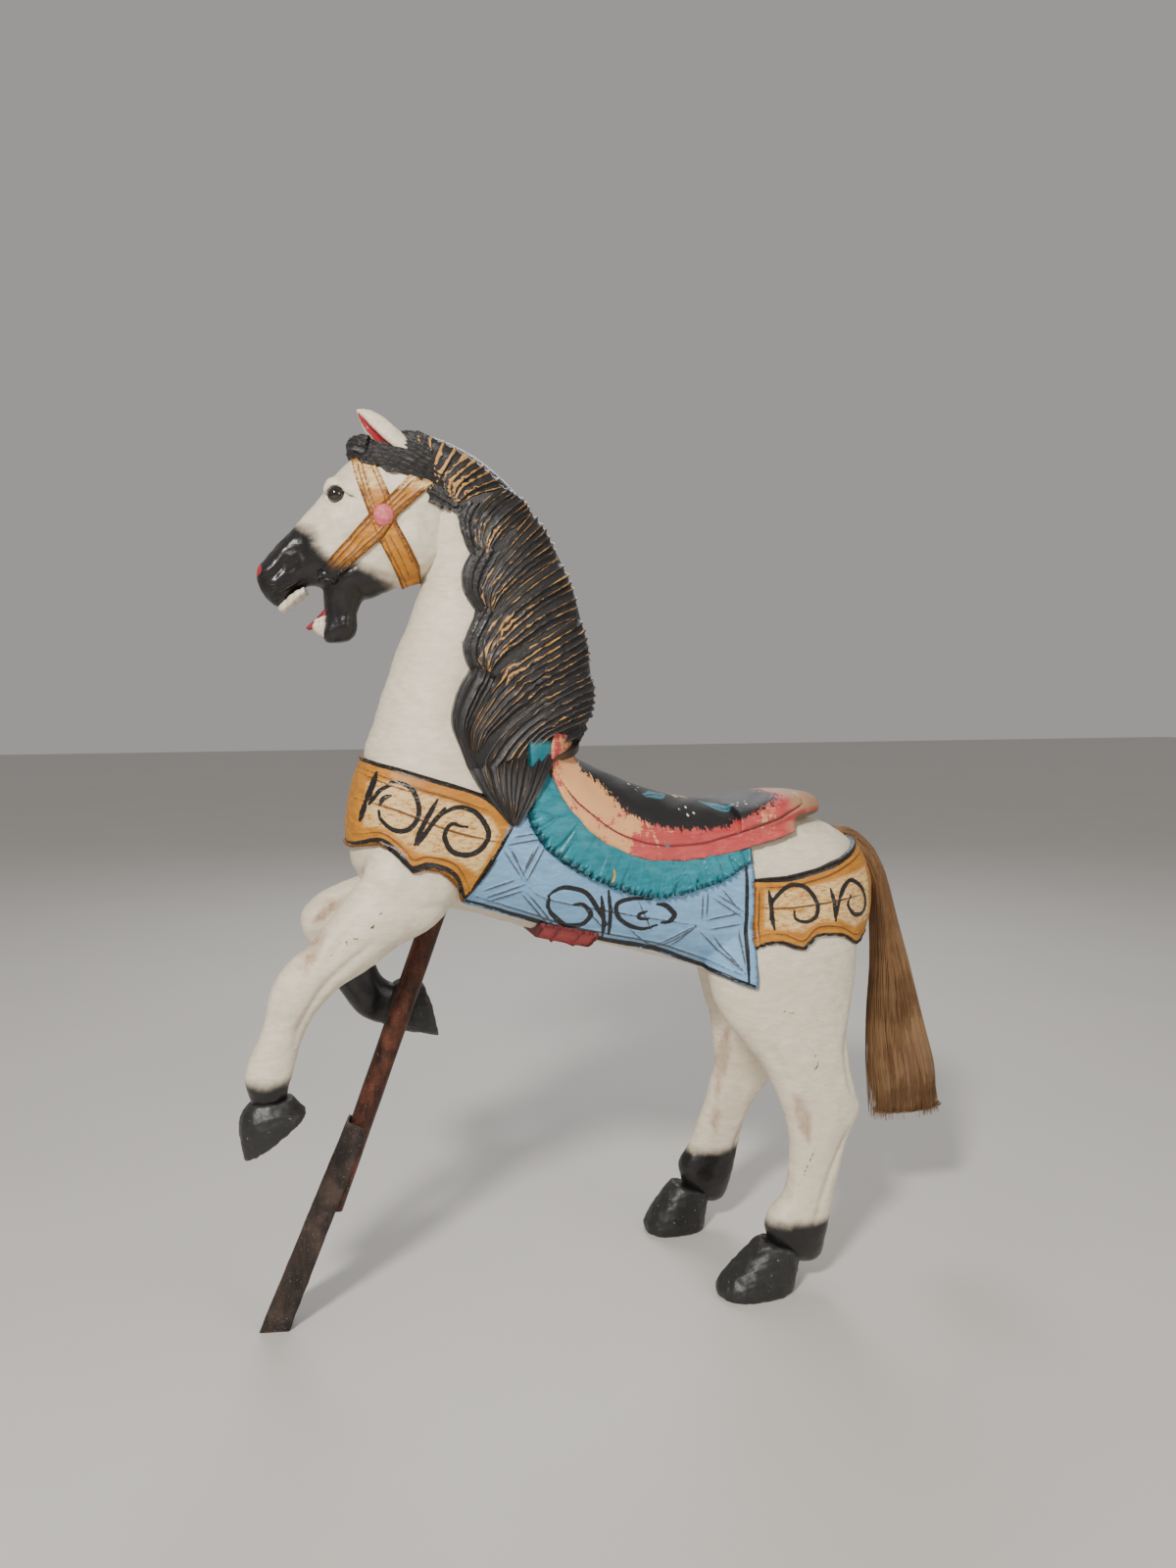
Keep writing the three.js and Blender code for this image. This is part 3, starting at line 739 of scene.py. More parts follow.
def eye_glass():
    def build(s):
        depth = s.noise(s.place(), 300, 2)
        return {"Base Color": s.mix(depth, (0.006, 0.004, 0.003), (0.02, 0.009, 0.005))}

    return material("eye_glass", build, Roughness=0.03, IOR=1.5, Coat_Weight=1.0, Coat_Roughness=0.02)


def rosette_paint():
    def build(s):
        rim = s.ramp(s.mask("rim"), 0.78, 0.98)
        given = {
            "Paint": (0.70, 0.20, 0.20),
            "Shade": (0.58, 0.10, 0.12),
            "Grime and shade": 0.7,
            "Grime_and_shade_colour": (0.30, 0.01, 0.03),
            "Wear": 0.9,
            "Wear_colour": (0.82, 0.42, 0.38),
        }
        return {**given, "over": [(rim, (0.42, 0.012, 0.045), 0.4)]}

    return painted("rosette_paint", build)


def patina_steel(name, dark, rust, metal, rough):
    def build(s):
        streak = s.noise(s.place((1, 1, 0.15), (0, 0.36, 0)), 90, 5, 0.7)
        patch = s.noise(s.place(), 24, 4, 0.65)
        dust = s.ramp(s.noise(s.place(), 700, 2, 0.6), 0.69, 0.72)
        colour = s.mix(s.ramp(streak, 0.35, 0.7), dark, rust)
        colour = s.mix(s.ramp(patch, 0.5, 0.7, 0, 0.6), colour, tuple(v * 1.8 for v in rust))
        colour = s.mix(s.math("MULTIPLY", dust, 0.8), colour, (0.5, 0.48, 0.44))
        roughness = s.math("ADD", rough, s.math("MULTIPLY", patch, 0.3))
        metallic = s.math("SUBTRACT", metal, s.math("MULTIPLY", dust, metal))
        return {"Base Color": colour, "Roughness": roughness, "Metallic": metallic, "Height": patch,
            "Depth": 0.0005}

    return material(name, build)


def horse_hair():
    def build(s):
        strand = s.noise(s.place((1400, 6, 1), source="flow"), 1, 3, 0.6)
        band = s.noise(s.place(), 14, 3, 0.6)
        colour = s.mix(s.ramp(strand, 0.3, 0.7), (0.07, 0.033, 0.014), (0.26, 0.135, 0.055))
        colour = s.mix(s.ramp(band, 0.4, 0.7, 0, 0.5), colour, (0.36, 0.21, 0.095))
        return {"Base Color": colour, "Height": strand, "Depth": 0.0008}

    return material("horse_hair", build, Roughness=0.42, Anisotropic=0.4)


# ---------------------------------------------------------------- the carver's tables

TRUNK = [
    [-203, 574, -206, 530, 0, 20],
    [-193, 612, -199, 498, 0, 44],
    [-172, 640, -174, 476, 0, 66],
    [-130, 652, -132, 462, 0, 78],
    [-75, 648, -78, 452, 0, 82],
    [-25, 636, -28, 436, 0, 80],
    [35, 616, 30, 419, 0, 78],
    [92, 590, 88, 404, 0, 77],
    [150, 569, 150, 386, 0, 78],
    [208, 559, 208, 368, 0, 82],
    [262, 556, 258, 352, 0, 89],
    [310, 553, 305, 346, 0, 94],
    [352, 545, 345, 352, 0, 92],
    [386, 527, 380, 372, 0, 77],
    [406, 501, 403, 402, 0, 54],
    [417, 466, 416, 437, 0, 22],
]
NECK = [
    [-183, 560, 30, 560, 0, 68],
    [-189, 624, 36, 628, 0, 67],
    [-179, 662, 42, 668, 0, 62],
    [-166, 702, 42, 714, 0, 57],
    [-148, 752, 36, 768, 0, 52],
    [-132, 790, 22, 818, 0, 47],
    [-122, 822, 2, 862, 0, 44],
    [-120, 856, -26, 903, 0, 41],
    [-120, 890, -60, 940, 0, 37],
    [-124, 922, -95, 962, 0, 29],
]
HIND_LEG_LEFT = [
    [208, 440, 385, 458, -46, 44],
    [196, 380, 385, 405, -58, 42],
    [206, 330, 375, 335, -66, 36],
    [232, 295, 366, 298, -73, 31],
    [260, 258, 368, 255, -79, 27],
    [273, 228, 375, 224, -83, 24],
    [281, 206, 380, 204, -85, 21],
    [286, 186, 369, 184, -86, 20],
    [288, 165, 360, 165, -87, 19],
    [286, 136, 352, 136, -88, 19],
    [278, 110, 345, 108, -88, 20],
    [263, 92, 341, 89, -88, 22],
    [256, 78, 338, 75, -89, 23],
    [259, 66, 333, 54, -89, 22],
    [262, 54, 326, 30, -89, 17],
    [270, 46, 300, 27, -89, 12],
]
HIND_HOOF_LEFT = [
    [252, 62, 297, 46, -89, 22],
    [243, 55, 298, 38, -89, 25],
    [221, 35, 296, 24, -89, 29],
    [199, 12, 292, 10, -89, 32],
    [199, 0, 290, 0, -89, 31],
]
HIND_LEG_RIGHT = [
    [212, 440, 385, 458, 46, 44],
    [225, 380, 385, 405, 58, 42],
    [236, 336, 375, 335, 66, 35],
    [248, 298, 366, 298, 73, 30],
    [258, 262, 363, 256, 79, 26],
    [264, 230, 362, 224, 83, 23],
    [263, 206, 358, 202, 85, 21],
    [258, 182, 340, 182, 86, 20],
    [250, 156, 320, 154, 87, 19],
    [241, 130, 308, 128, 88, 19],
    [231, 107, 301, 104, 88, 20],
    [221, 91, 297, 89, 88, 22],
    [218, 80, 294, 77, 89, 23],
    [221, 69, 289, 58, 89, 22],
    [223, 58, 280, 33, 89, 17],
    [230, 48, 260, 29, 89, 12],
]
HIND_HOOF_RIGHT = [
    [211, 62, 255, 46, 89, 22],
    [202, 55, 257, 38, 89, 24],
    [187, 35, 255, 24, 89, 28],
    [173, 12, 252, 10, 89, 30],
    [173, 0, 250, 0, 89, 29],
]
FORELEG_LEFT = [
    [-178, 545, -80, 500, -44, 34],
    [-198, 508, -118, 452, -55, 33],
    [-219, 480, -162, 430, -62, 30],
    [-238, 457, -192, 410, -65, 27],
    [-261, 434, -222, 393, -66, 24],
    [-284, 411, -243, 373, -66, 23],
    [-297, 387, -251, 363, -67, 22],
    [-301, 364, -259, 349, -67, 18],
    [-308, 343, -266, 332, -68, 17],
    [-316, 326, -270, 319, -68, 18],
    [-322, 310, -274, 304, -69, 20],
    [-323, 297, -277, 295, -69, 20],
    [-319, 284, -279, 287, -69, 17],
    [-316, 272, -280, 275, -69, 14],
]
FORE_HOOF_LEFT = [
    [-318, 277, -274, 281, -69, 18],
    [-326, 266, -266, 270, -69, 24],
    [-329, 248, -261, 265, -69, 27],
    [-324, 218, -262, 261, -69, 28],
]
FOREARM_RIGHT = [
    [-150, 535, -95, 450, 40, 34],
    [-178, 497, -150, 432, 50, 32],
    [-204, 483, -182, 426, 57, 29],
    [-228, 473, -212, 420, 61, 26],
    [-248, 458, -236, 416, 62, 24],
    [-256, 442, -250, 420, 62, 16],
]
CANNON_RIGHT = [
    [-256, 448, -222, 456, 62, 17],
    [-254, 424, -212, 440, 62, 21],
    [-237, 390, -195, 414, 62, 19],
    [-215, 357, -174, 387, 62, 18],
    [-203, 339, -167, 372, 62, 20],
    [-191, 323, -161, 364, 62, 20],
    [-178, 316, -154, 360, 62, 18],
    [-160, 309, -146, 361, 62, 16],
]
FORE_HOOF_RIGHT = [
    [-172, 316, -152, 358, 62, 17],
    [-158, 308, -142, 363, 62, 22],
    [-132, 300, -126, 362, 62, 27],
    [-100, 293, -117, 357, 62, 29],
]
CANTLE = [
    [226, 568, 226, 524, 0, 80],
    [258, 573, 262, 531, 0, 77],
    [288, 578, 296, 541, 0, 69],
    [318, 580, 326, 547, 0, 56],
    [341, 576, 346, 551, 0, 38],
    [353, 568, 355, 556, 0, 18],
]
MANE_BLANK = [
    [-190, 560, 36, 600, 0, 66],
    [-190, 628, 46, 648, 0, 70],
    [-182, 662, 66, 684, 0, 66],
    [-169, 702, 67, 722, 0, 61],
    [-151, 752, 58, 770, 0, 55],
    [-135, 790, 44, 818, 0, 50],
    [-125, 822, 20, 866, 0, 47],
    [-121, 856, -10, 908, 0, 43],
    [-120, 890, -51, 945, 0, 38],
    [-124, 925, -88, 965, 0, 32],
    [-128, 950, -112, 973, 0, 24],
]
SKULL = [
    [18, 940, 30, 900, 0, 22],
    [-6, 972, 24, 884, 0, 31],
    [-42, 972, 13, 848, 0, 37],
    [-78, 955, -12, 822, 0, 39],
    [-103, 932, -42, 811, 0, 38],
    [-120, 908, -72, 799, 0, 34],
    [-137, 889, -98, 802, 0, 30],
    [-151, 873, -122, 812, 0, 27],
    [-164, 860, -140, 811, 0, 25],
    [-176, 846, -154, 802, 0, 25],
    [-187, 833, -166, 790, 0, 23],
    [-190, 821, -178, 797, 0, 14],
]
JAW = [
    [-119, 822, -74, 812, 0, 26],
    [-119, 803, -79, 795, 0, 22],
    [-118, 785, -83, 784, 0, 19],
    [-118, 768, -84, 764, 0, 18],
    [-114, 751, -92, 753, 0, 12],
]
TONGUE = [
    [-112, 796, -104, 788, 0, 10],
    [-124, 782, -114, 774, 0, 9],
    [-139, 768, -135, 765, 0, 3],
]
UPPER_TEETH = [
    [-138, 812, -136, 804, 0, 17],
    [-150, 806, -146, 795, 0, 16],
    [-162, 796, -160, 784, 0, 12],
    [-166, 792, -166, 786, 0, 8],
]
LOWER_TEETH = [
    [-129, 776, -114, 782, 0, 13],
    [-131, 768, -114, 766, 0, 14],
    [-126, 760, -114, 757, 0, 10],
]
EAR = [
    [-20, 938, -10, 946, 21, 8],
    [-38, 946, -21, 963, 22, 10],
    [-55, 958, -36, 978, 22, 10],
    [-69, 973, -52, 991, 21, 7],
    [-77, 986, -63, 997, 20, 4],
    [-80, 997, -76, 999, 20, 1.5],
]
TAIL = [
    [378, 522, 384, 532, 0, 6],
    [397, 509, 402, 532, 0, 9],
    [411, 501, 421, 522, 0, 11],
    [426, 486, 440, 505, 1, 12],
    [439, 464, 455, 481, 2, 13],
    [443, 430, 466, 456, 4, 14],
    [445, 380, 482, 408, 6, 16],
    [445, 320, 503, 345, 8, 19],
    [444, 257, 525, 275, 9, 21],
    [451, 195, 547, 205, 10, 22],
    [455, 150, 558, 150, 11, 21],
    [464, 100, 564, 100, 12, 16],
    [500, 90, 550, 92, 12, 8],
]

# ---------------------------------------------------------------- helpers of the pieces


def waver(points, length, seed):
    """A smooth field, about -1 to 1, that wanders over the given length."""
    dice = np.random.default_rng(seed)
    total = np.zeros(len(points))
    for _ in range(7):
        direction = dice.normal(size=3)
        direction /= np.linalg.norm(direction) * length * dice.uniform(0.7, 1.5)
        total += np.sin(points @ direction * 2 * math.pi + dice.uniform(0, 6.3))
    return total / 3


def carve(skin, strokes, where=1.0):
    """Pushes the skin along strokes of [depth, width, points...]: a negative depth cuts a groove."""
    p = skin.side()
    total = np.zeros(len(p))
    for depth, width, *points in strokes:
        d, t = distance(p, curve(points, 6), 3 * width)
        total += depth * bump(d, width) * np.clip(np.minimum(t, 1 - t) / 0.22, 0, 1) ** 0.6
    skin.push(total * where)


def left_of(skin, middle=0.0, soft=6.0):
    return ramp(skin.v[:, 1], middle + soft, middle - soft)


def ball(centre, radii, sides=40):
    x, y, z = centre
    rx, ry, rz = radii
    turn = np.linspace(0.04, math.pi - 0.04, 24)
    rows = [[x - rx * math.sin(a), z + rz * math.cos(a)] * 2 + [y, ry * math.sin(a)] for a in turn]
    for row in rows:
        row[2] = 2 * x - row[0]
    return loft(rows, sides, 1, square=2)


def rounded_edge(skin, outline, radius):
    """Rounds the rim of a cut layer: how far each point has to sink."""
    depth = np.clip(-inside(skin.side(), outline), 0, radius)
    return -(radius - np.sqrt(radius**2 - (radius - depth) ** 2))


# ---------------------------------------------------------------- body

BODY_LIMBS = [TRUNK, NECK, HIND_LEG_LEFT, HIND_LEG_RIGHT, FORELEG_LEFT, FOREARM_RIGHT]


def torso():
    """The body down to the stifles, in small cells, for the trappings to lie on."""
    shells = [loft(TRUNK, 72, 6, square=2.3), loft(NECK[:4], 60, 6)]
    shells += [loft(rows[:4], 40, 6) for rows in BODY_LIMBS[2:]]
    skin = melted(shells, 1.6)
    skin.smooth(0.5, 16)
    return skin


LEFT_STROKES = [
    [-3.2, 4.5, (358, 300), (357, 256), (366, 222)],
    [-3.6, 4, (362, 190), (336, 145), (316, 96), (306, 66)],
    [-1.6, 4, (288, 140), (277, 98)],
    [-2.6, 6, (292, 232), (303, 208), (298, 180)],
    [1.5, 9, (330, 240), (336, 200), (322, 150)],
    [-2.6, 7, (250, 300), (275, 262), (286, 236)],
    [-2.4, 5, (-262, 418), (-250, 440), (-238, 450)],
    [-3.2, 4, (-186, 445), (-218, 419), (-243, 395), (-266, 358), (-272, 326)],
    [-2.0, 5, (-284, 396), (-290, 370), (-296, 345)],
    [1.6, 7, (-276, 402), (-266, 382)],
    [-3.0, 6, (-204, 507), (-171, 487), (-146, 474), (-128, 462)],
    [-2.4, 5, (-140, 474), (-112, 470), (-88, 462)],
    [2.0, 16, (-160, 470), (-200, 450)],
    [-1.5, 5, (-205, 470), (-232, 432), (-245, 418)],
]
RIGHT_STROKES = [
    [-3.2, 4.5, (352, 300), (350, 256), (356, 222)],
    [-3.6, 4, (338, 190), (304, 132), (284, 92)],
    [-2.6, 6, (273, 268), (274, 233), (268, 190)],
    [1.5, 9, (310, 240), (312, 200), (292, 150)],
    [-2.6, 7, (252, 300), (266, 262)],
    [-2.4, 5, (-196, 470), (-222, 452), (-240, 440)],
    [-2.6, 4, (-222, 420), (-196, 384), (-180, 352)],
    [-3.0, 6, (-204, 507), (-171, 487), (-130, 470)],
]
BROWN_LEFT = [
    [(286, 236), (298, 224), (308, 199), (305, 174), (293, 194)],
    [(-268, 418), (-258, 440), (-239, 452), (-249, 430), (-262, 409)],
]
BROWN_RIGHT = [
    [(272, 270), (279, 240), (275, 200), (264, 172), (266, 220)],
    [(262, 160), (268, 150), (262, 128), (254, 140)],
    [(-198, 474), (-228, 462), (-244, 440), (-226, 446)],
]
CRACKS = [
    [1.6, (265, 336), (280, 331), (296, 328)],
    [1.4, (306, 324), (318, 318), (329, 314)],
    [1.6, (298, 294), (309, 281), (314, 264)],
    [1.4, (316, 262), (322, 248), (327, 234)],
    [1.6, (315, 177), (304, 150), (293, 125)],
    [1.3, (318, 275), (310, 264), (303, 254)],
    [1.8, (-227, 440), (-220, 445), (-218, 437)],
    [1.6, (-214, 452), (-210, 446), (-204, 449)],
    [1.9, (-187, 468), (-182, 472), (-180, 464)],
    [1.8, (-198, 462), (-193, 456), (-190, 461)],
    [1.4, (-236, 428), (-231, 434), (-226, 431)],
]


def horse_body():
    shells = [loft(TRUNK, 72, 6, square=2.3), loft(NECK, 60, 6), loft(CANNON_RIGHT, 40, 6)]
    shells += [loft(rows, 44, 6) for rows in BODY_LIMBS[2:]]
    skin = melted(shells, 3.5)
    skin.smooth(0.5, 5)
    left = left_of(skin)
    carve(skin, LEFT_STROKES, left)
    carve(skin, RIGHT_STROKES, 1 - left)
    x, y, z = skin.v.T
    skin.push(0.5 * waver(skin.v, 34, 1) + 0.25 * waver(skin.v, 13, 2))
    skin.smooth(0.4, 1)
    x, y, z = skin.v.T
    p = skin.side()
    black = np.full(len(x), 60.0)
    for chosen, fade in (
        ((y < 0) & (x > 150), z - 82),
        ((y > 0) & (x > 120), z - 104),
        ((y < 0) & (x < -230), z - 300),
        ((y > 20) & (x > -262) & (x < -120) & (z < 420), (z - 392) * 0.78 - (x + 206) * 0.62),
    ):
        black[chosen] = np.minimum(black, fade)[chosen]
    brown = np.full(len(x), 40.0)
    for outlines, side in ((BROWN_LEFT, y < 0), (BROWN_RIGHT, y > 0)):
        for outline in outlines:
            brown[side] = np.minimum(brown, inside(p, outline))[side]
    crack_and_crease_shade = np.where(y < 0, brushes(p, CRACKS, 0.4), 9)
    masks = {"cavity": skin.cavity(), "black": black, "brown": brown, "crack_and_crease_shade": crack_and_crease_shade, "red": np.full(len(x),
        9)}
    return piece("horse_body", skin, cream, "carved_horse", masks)


def hooves():
    parts = [HIND_HOOF_LEFT, HIND_HOOF_RIGHT, FORE_HOOF_LEFT, FORE_HOOF_RIGHT]
    made = []
    for rows in parts:
        skin = melted([loft(rows, 48, 8, square=2.4)], 2.2)
        skin.smooth(0.4, 3)
        made.append(skin)
    whole = joined(*made)
    whole.push(0.5 * waver(whole.v, 16, 5) + 0.25 * waver(whole.v, 6, 6))
    whole.v[:, 2] = np.maximum(whole.v[:, 2], 0)
    piece("hooves", whole, black_paint(), "carved_horse", {"cavity": whole.cavity()})


# ---------------------------------------------------------------- trappings

COLLAR_OUTLINE = [
    (-240, 648), (-188, 625), (-154, 616), (-112, 603), (-74, 590), (-42, 557),
    (-92, 475), (-97, 490), (-110, 504), (-121, 512), (-134, 515), (-149, 512),
    (-153, 517), (-160, 524), (-169, 534), (-181, 541), (-197, 538), (-206, 535), (-240, 532),
]
BLANKET_OUTLINE = [
    (-44, 557), (-92, 474), (-17, 448), (25, 432), (67, 420), (131, 405),
    (182, 384), (238, 363), (236, 440), (237, 512), (226, 590), (0, 640),
]
STRAP_OUTLINE = [
    (238, 484), (279, 486), (322, 495), (350, 503), (400, 522), (450, 530), (450, 425),
    (415, 414), (395, 411), (378, 405), (371, 404), (358, 412), (345, 417), (330, 419), (316, 419),
    (304, 411), (296, 405), (285, 407), (270, 413), (252, 413), (238, 407),
]
COLLAR_INK = [
    [4.5, (-181, 614), (-187, 598), (-193, 583)],
    [3.6, (-193, 583), (-196, 573), (-199, 563)],
    [3.2, (-168, 601), (-178, 597), (-184, 590), (-190, 581)],
    [4.2, (-169, 604), (-158, 604), (-146, 595), (-141, 575), (-147, 560), (-157, 554), (-169, 556), (-179,
        566), (-181, 575)],
    [3.6, (-180, 581), (-176, 588), (-169, 591)],
    [4.4, (-122, 586), (-137, 560), (-146, 539)],
    [3.8, (-114, 578), (-128, 561), (-143, 539)],
    [4.8, (-124, 564), (-116, 572), (-99, 578), (-81, 571), (-69, 552), (-72, 539), (-81, 530), (-94, 527),
        (-108, 532), (-115, 545), (-114, 553), (-111, 558), (-106, 561), (-98, 558), (-91, 557)],
]
COLLAR_CUT = [
    [2.2, (-196, 619), (-171, 608), (-140, 597), (-104, 586), (-62, 571)],
    [2.6, (-202, 586), (-167, 577), (-131, 562), (-98, 550), (-57, 540)],
    [2.0, (-196, 613), (-171, 602), (-140, 592)],
    [2.0, (-206, 548), (-196, 550), (-179, 552), (-165, 543), (-155, 532), (-148, 524), (-134, 526), (-113,
        522), (-99, 512), (-84, 484)],
]
COLLAR_RIM = [
    [4.6, (-215, 537), (-205, 538), (-196, 541), (-181, 544), (-168, 536), (-158, 525), (-150, 515), (-134,
        518), (-115, 513), (-101, 502), (-91, 478)],
    [4.0, (-195, 626), (-188, 624), (-154, 615), (-112, 602), (-74, 589), (-46, 562)],
    [4.0, (-41, 556), (-90, 476)],
]
COLLAR_PANEL = [
    (-190, 604), (-168, 604), (-140, 594), (-104, 583), (-66, 566), (-56, 548), (-80, 505), (-94, 516),
    (-112, 526), (-140, 530), (-156, 540), (-172, 556), (-196, 558),
]
BLANKET_CUT = [
    [2.0, (-42, 544), (-18, 547)], [2.0, (-50, 536), (-10, 541)], [2.0, (-54, 533), (-31, 498)],
    [2.0, (-47, 535), (-26, 496)], [1.8, (-43, 530), (-35, 514)], [1.8, (-19, 530), (-29, 509)],
    [2.0, (-6, 534), (-26, 496)], [2.0, (-12, 537), (-31, 502)], [2.0, (-58, 524), (-77, 493)],
    [2.0, (-71, 487), (-40, 497)], [2.0, (-69, 478), (-27, 492)], [2.0, (-67, 473), (-29, 485)],
    [2.0, (-32, 483), (7, 439)], [2.0, (-26, 484), (12, 440)], [1.8, (-24, 490), (-2, 474), (63, 458), (118,
        446), (171, 436)],
    [2.0, (177, 473), (177, 440)], [2.0, (183, 474), (182, 443)], [2.0, (185, 469), (227, 441)],
    [2.0, (193, 471), (226, 449)], [2.0, (198, 478), (216, 457)], [2.0, (182, 441), (222, 448)],
    [2.0, (187, 430), (224, 435)], [2.0, (170, 435), (132, 413)], [2.0, (173, 436), (145, 410)],
    [2.0, (173, 431), (227, 378)], [2.0, (192, 423), (223, 383)], [2.0, (221, 431), (226, 386)],
    [1.8, (91, 438), (130, 411), (171, 435)], [2.2, (-80, 480), (-17, 457), (25, 441), (65, 430), (131,
        414), (182, 395), (222, 378)],
    [1.8, (40, 462), (70, 432)], [1.8, (100, 470), (120, 432)],
]
BLANKET_INK = [
    [4.4, (-1, 477), (8, 484), (20, 486), (41, 479), (55, 461), (69, 439)],
    [4.6, (0, 469), (3, 459), (9, 452), (23, 441), (41, 441), (49, 451), (46, 459), (38, 466), (29, 466)],
    [3.4, (0, 476), (0, 462)],
    [3.6, (59, 474), (64, 449), (68, 424)], [3.4, (67, 480), (71, 453), (74, 427)],
    [4.2, (117, 468), (98, 470), (80, 466), (77, 458), (82, 447), (94, 438), (110, 433), (126, 437)],
    [5.0, (124, 462), (134, 460), (141, 454), (145, 448), (139, 441), (131, 440)],
    [2.8, (113, 454), (104, 451), (105, 446), (115, 445)],
    [3.2, (-92, 476), (-17, 450), (25, 434), (65, 422), (131, 407), (182, 386), (236, 365)],
    [3.4, (230, 514), (229, 441), (229, 368)],
    [3.2, (-44, 553), (-89, 478)],
]
STRAP_INK = [
    [4.2, (255, 472), (258, 450), (261, 428)],
    [4.2, (257, 440), (258, 456), (264, 466), (281, 478), (300, 474), (313, 456), (312, 441), (300, 435),
        (287, 439), (285, 448)],
    [4.0, (330, 472), (335, 455), (338, 434)],
    [3.4, (338, 436), (345, 468), (358, 481)],
    [4.2, (345, 462), (358, 479), (375, 472), (386, 454), (381, 439), (366, 439), (355, 451), (359, 462)],
    [4.6, (236, 484), (279, 485), (322, 494), (350, 502), (400, 521)],
    [4.6, (236, 406), (250, 412), (270, 412), (285, 407), (295, 405), (304, 411), (316, 418), (345, 416),
        (358, 411), (371, 404), (395, 410)],
]
STRAP_CUT = [
    [2.4, (234, 457), (264, 452), (305, 454), (380, 462)],
    [2.0, (236, 476), (279, 477), (322, 485), (350, 494), (400, 512)],
    [2.0, (236, 418), (252, 423), (272, 422), (294, 414), (314, 428), (345, 426), (370, 414), (395, 420)],
    [2.0, (243, 480), (243, 412)],
]
STRAP_PANEL = [(250, 472), (282, 472), (330, 480), (392, 492), (396, 430), (368, 424), (344, 434), (314,
    434), (294, 424), (250, 430)]
GIRTH_BUCKLE = [(-2, 425), (57, 411), (60, 427), (-2, 441)]


def layer(base, outline, proud):
    skin = Skin(base.v.copy(), base.f)
    skin.push(np.full(len(skin.v), float(proud)))
    return cut(skin, outline)


def flat_layer(name, base, outline, proud, paint, lines, extra):
    """A painted layer with incised lines: the paint masks are named lists of strokes."""
    skin = layer(base, outline, proud)
    p = skin.side()
    masks = {label: brushes(p, strokes) for label, strokes in lines.items()}
    masks["ink"] -= 0.6
    masks.update({label: inside(p, panel) for label, panel in extra.items()})
    groove = -1.1 * ramp(masks["cut"], 1.2, -0.6)
    raised = 0.35 * ramp(masks["ink"], 0.6, -0.6)
    skin.push(rounded_edge(skin, outline, 2.2) + groove + raised + 0.35 * waver(skin.v, 24, 9))
    masks["cavity"] = skin.cavity(2)
    masks.setdefault("black", np.full(len(p), 99.0))
    return piece(name, skin, paint, "carved_horse", masks)


RUFFLE_LOW = [(-17, 580), (-23, 562), (-4, 531), (32, 505), (67, 488), (110, 473), (145, 473), (178, 481),
    (205, 489), (236, 507)]
RUFFLE_PLEATS = 38


def ruffle(base):
    low = spaced(curve(RUFFLE_LOW, 12), RUFFLE_PLEATS * 6)
    step = np.gradient(low, axis=0)
    out = np.stack([step[:, 1], -step[:, 0]], 1) / np.linalg.norm(step, axis=1, keepdims=True)
    count = np.linspace(0, RUFFLE_PLEATS, len(low))
    dice = np.random.default_rng(3)
    jitter = np.interp(count, np.arange(RUFFLE_PLEATS + 1), dice.normal(0, 0.24, RUFFLE_PLEATS + 1))
    wave = (count + jitter) % 1
    low = low + out * (1.6 * np.abs(np.sin(math.pi * wave)) - 0.8)[:, None]
    outline = [*map(tuple, low), (236, 600), (-20, 650)]
    skin = layer(base, outline, 8)
    p = skin.side()
    d, t = distance(p, low, 70)
    phase = np.interp(t * RUFFLE_PLEATS, count, count + jitter)
    pleat = phase % 1
    deep = np.interp(np.floor(phase), np.arange(RUFFLE_PLEATS + 2), dice.uniform(0.6, 1.3, RUFFLE_PLEATS + 2))
    fold = -np.exp(-((np.minimum(pleat, 1 - pleat) / 0.2) ** 2)) * deep
    open_end = ramp(d, 46, 4)
    rim = ramp(d, 7, 0)
    height = (3.8 * fold + 1.6 * np.abs(np.sin(math.pi * pleat))) * (0.45 + 0.55 * open_end) - 1.6 * rim
    skin.push(height + rounded_edge(skin, outline, 2.2) + 0.5 * waver(skin.v, 18, 12))
    skin.smooth(0.3, 1)
    fleck = brush(p, [(70, 506), (71, 498), (68, 490)], 2.6)
    piece("ruffle", skin, teal_paint(), "carved_horse", {"cavity": skin.cavity(2),
        "ink": fleck})


SADDLE_OUTLINE = [
    (10, 700), (7, 607), (14, 586), (26, 567), (44, 547), (65, 531), (88, 520), (111, 513), (135, 510),
    (158, 510), (200, 514), (230, 520), (250, 523), (300, 536), (340, 700),
]
SADDLE_LINE = [[2.4, (12, 612), (24, 590), (40, 572), (78, 544), (120, 530), (169, 528), (215, 536), (266,
    549), (303, 563), (314, 570), (310, 578)]]
SADDLE_FUR = [
    (36, 720), (46, 610), (58, 601), (70, 589), (87, 570), (107, 555), (134, 547), (178, 542),
    (214, 545), (237, 558), (271, 569), (290, 577), (298, 590), (298, 720),
]


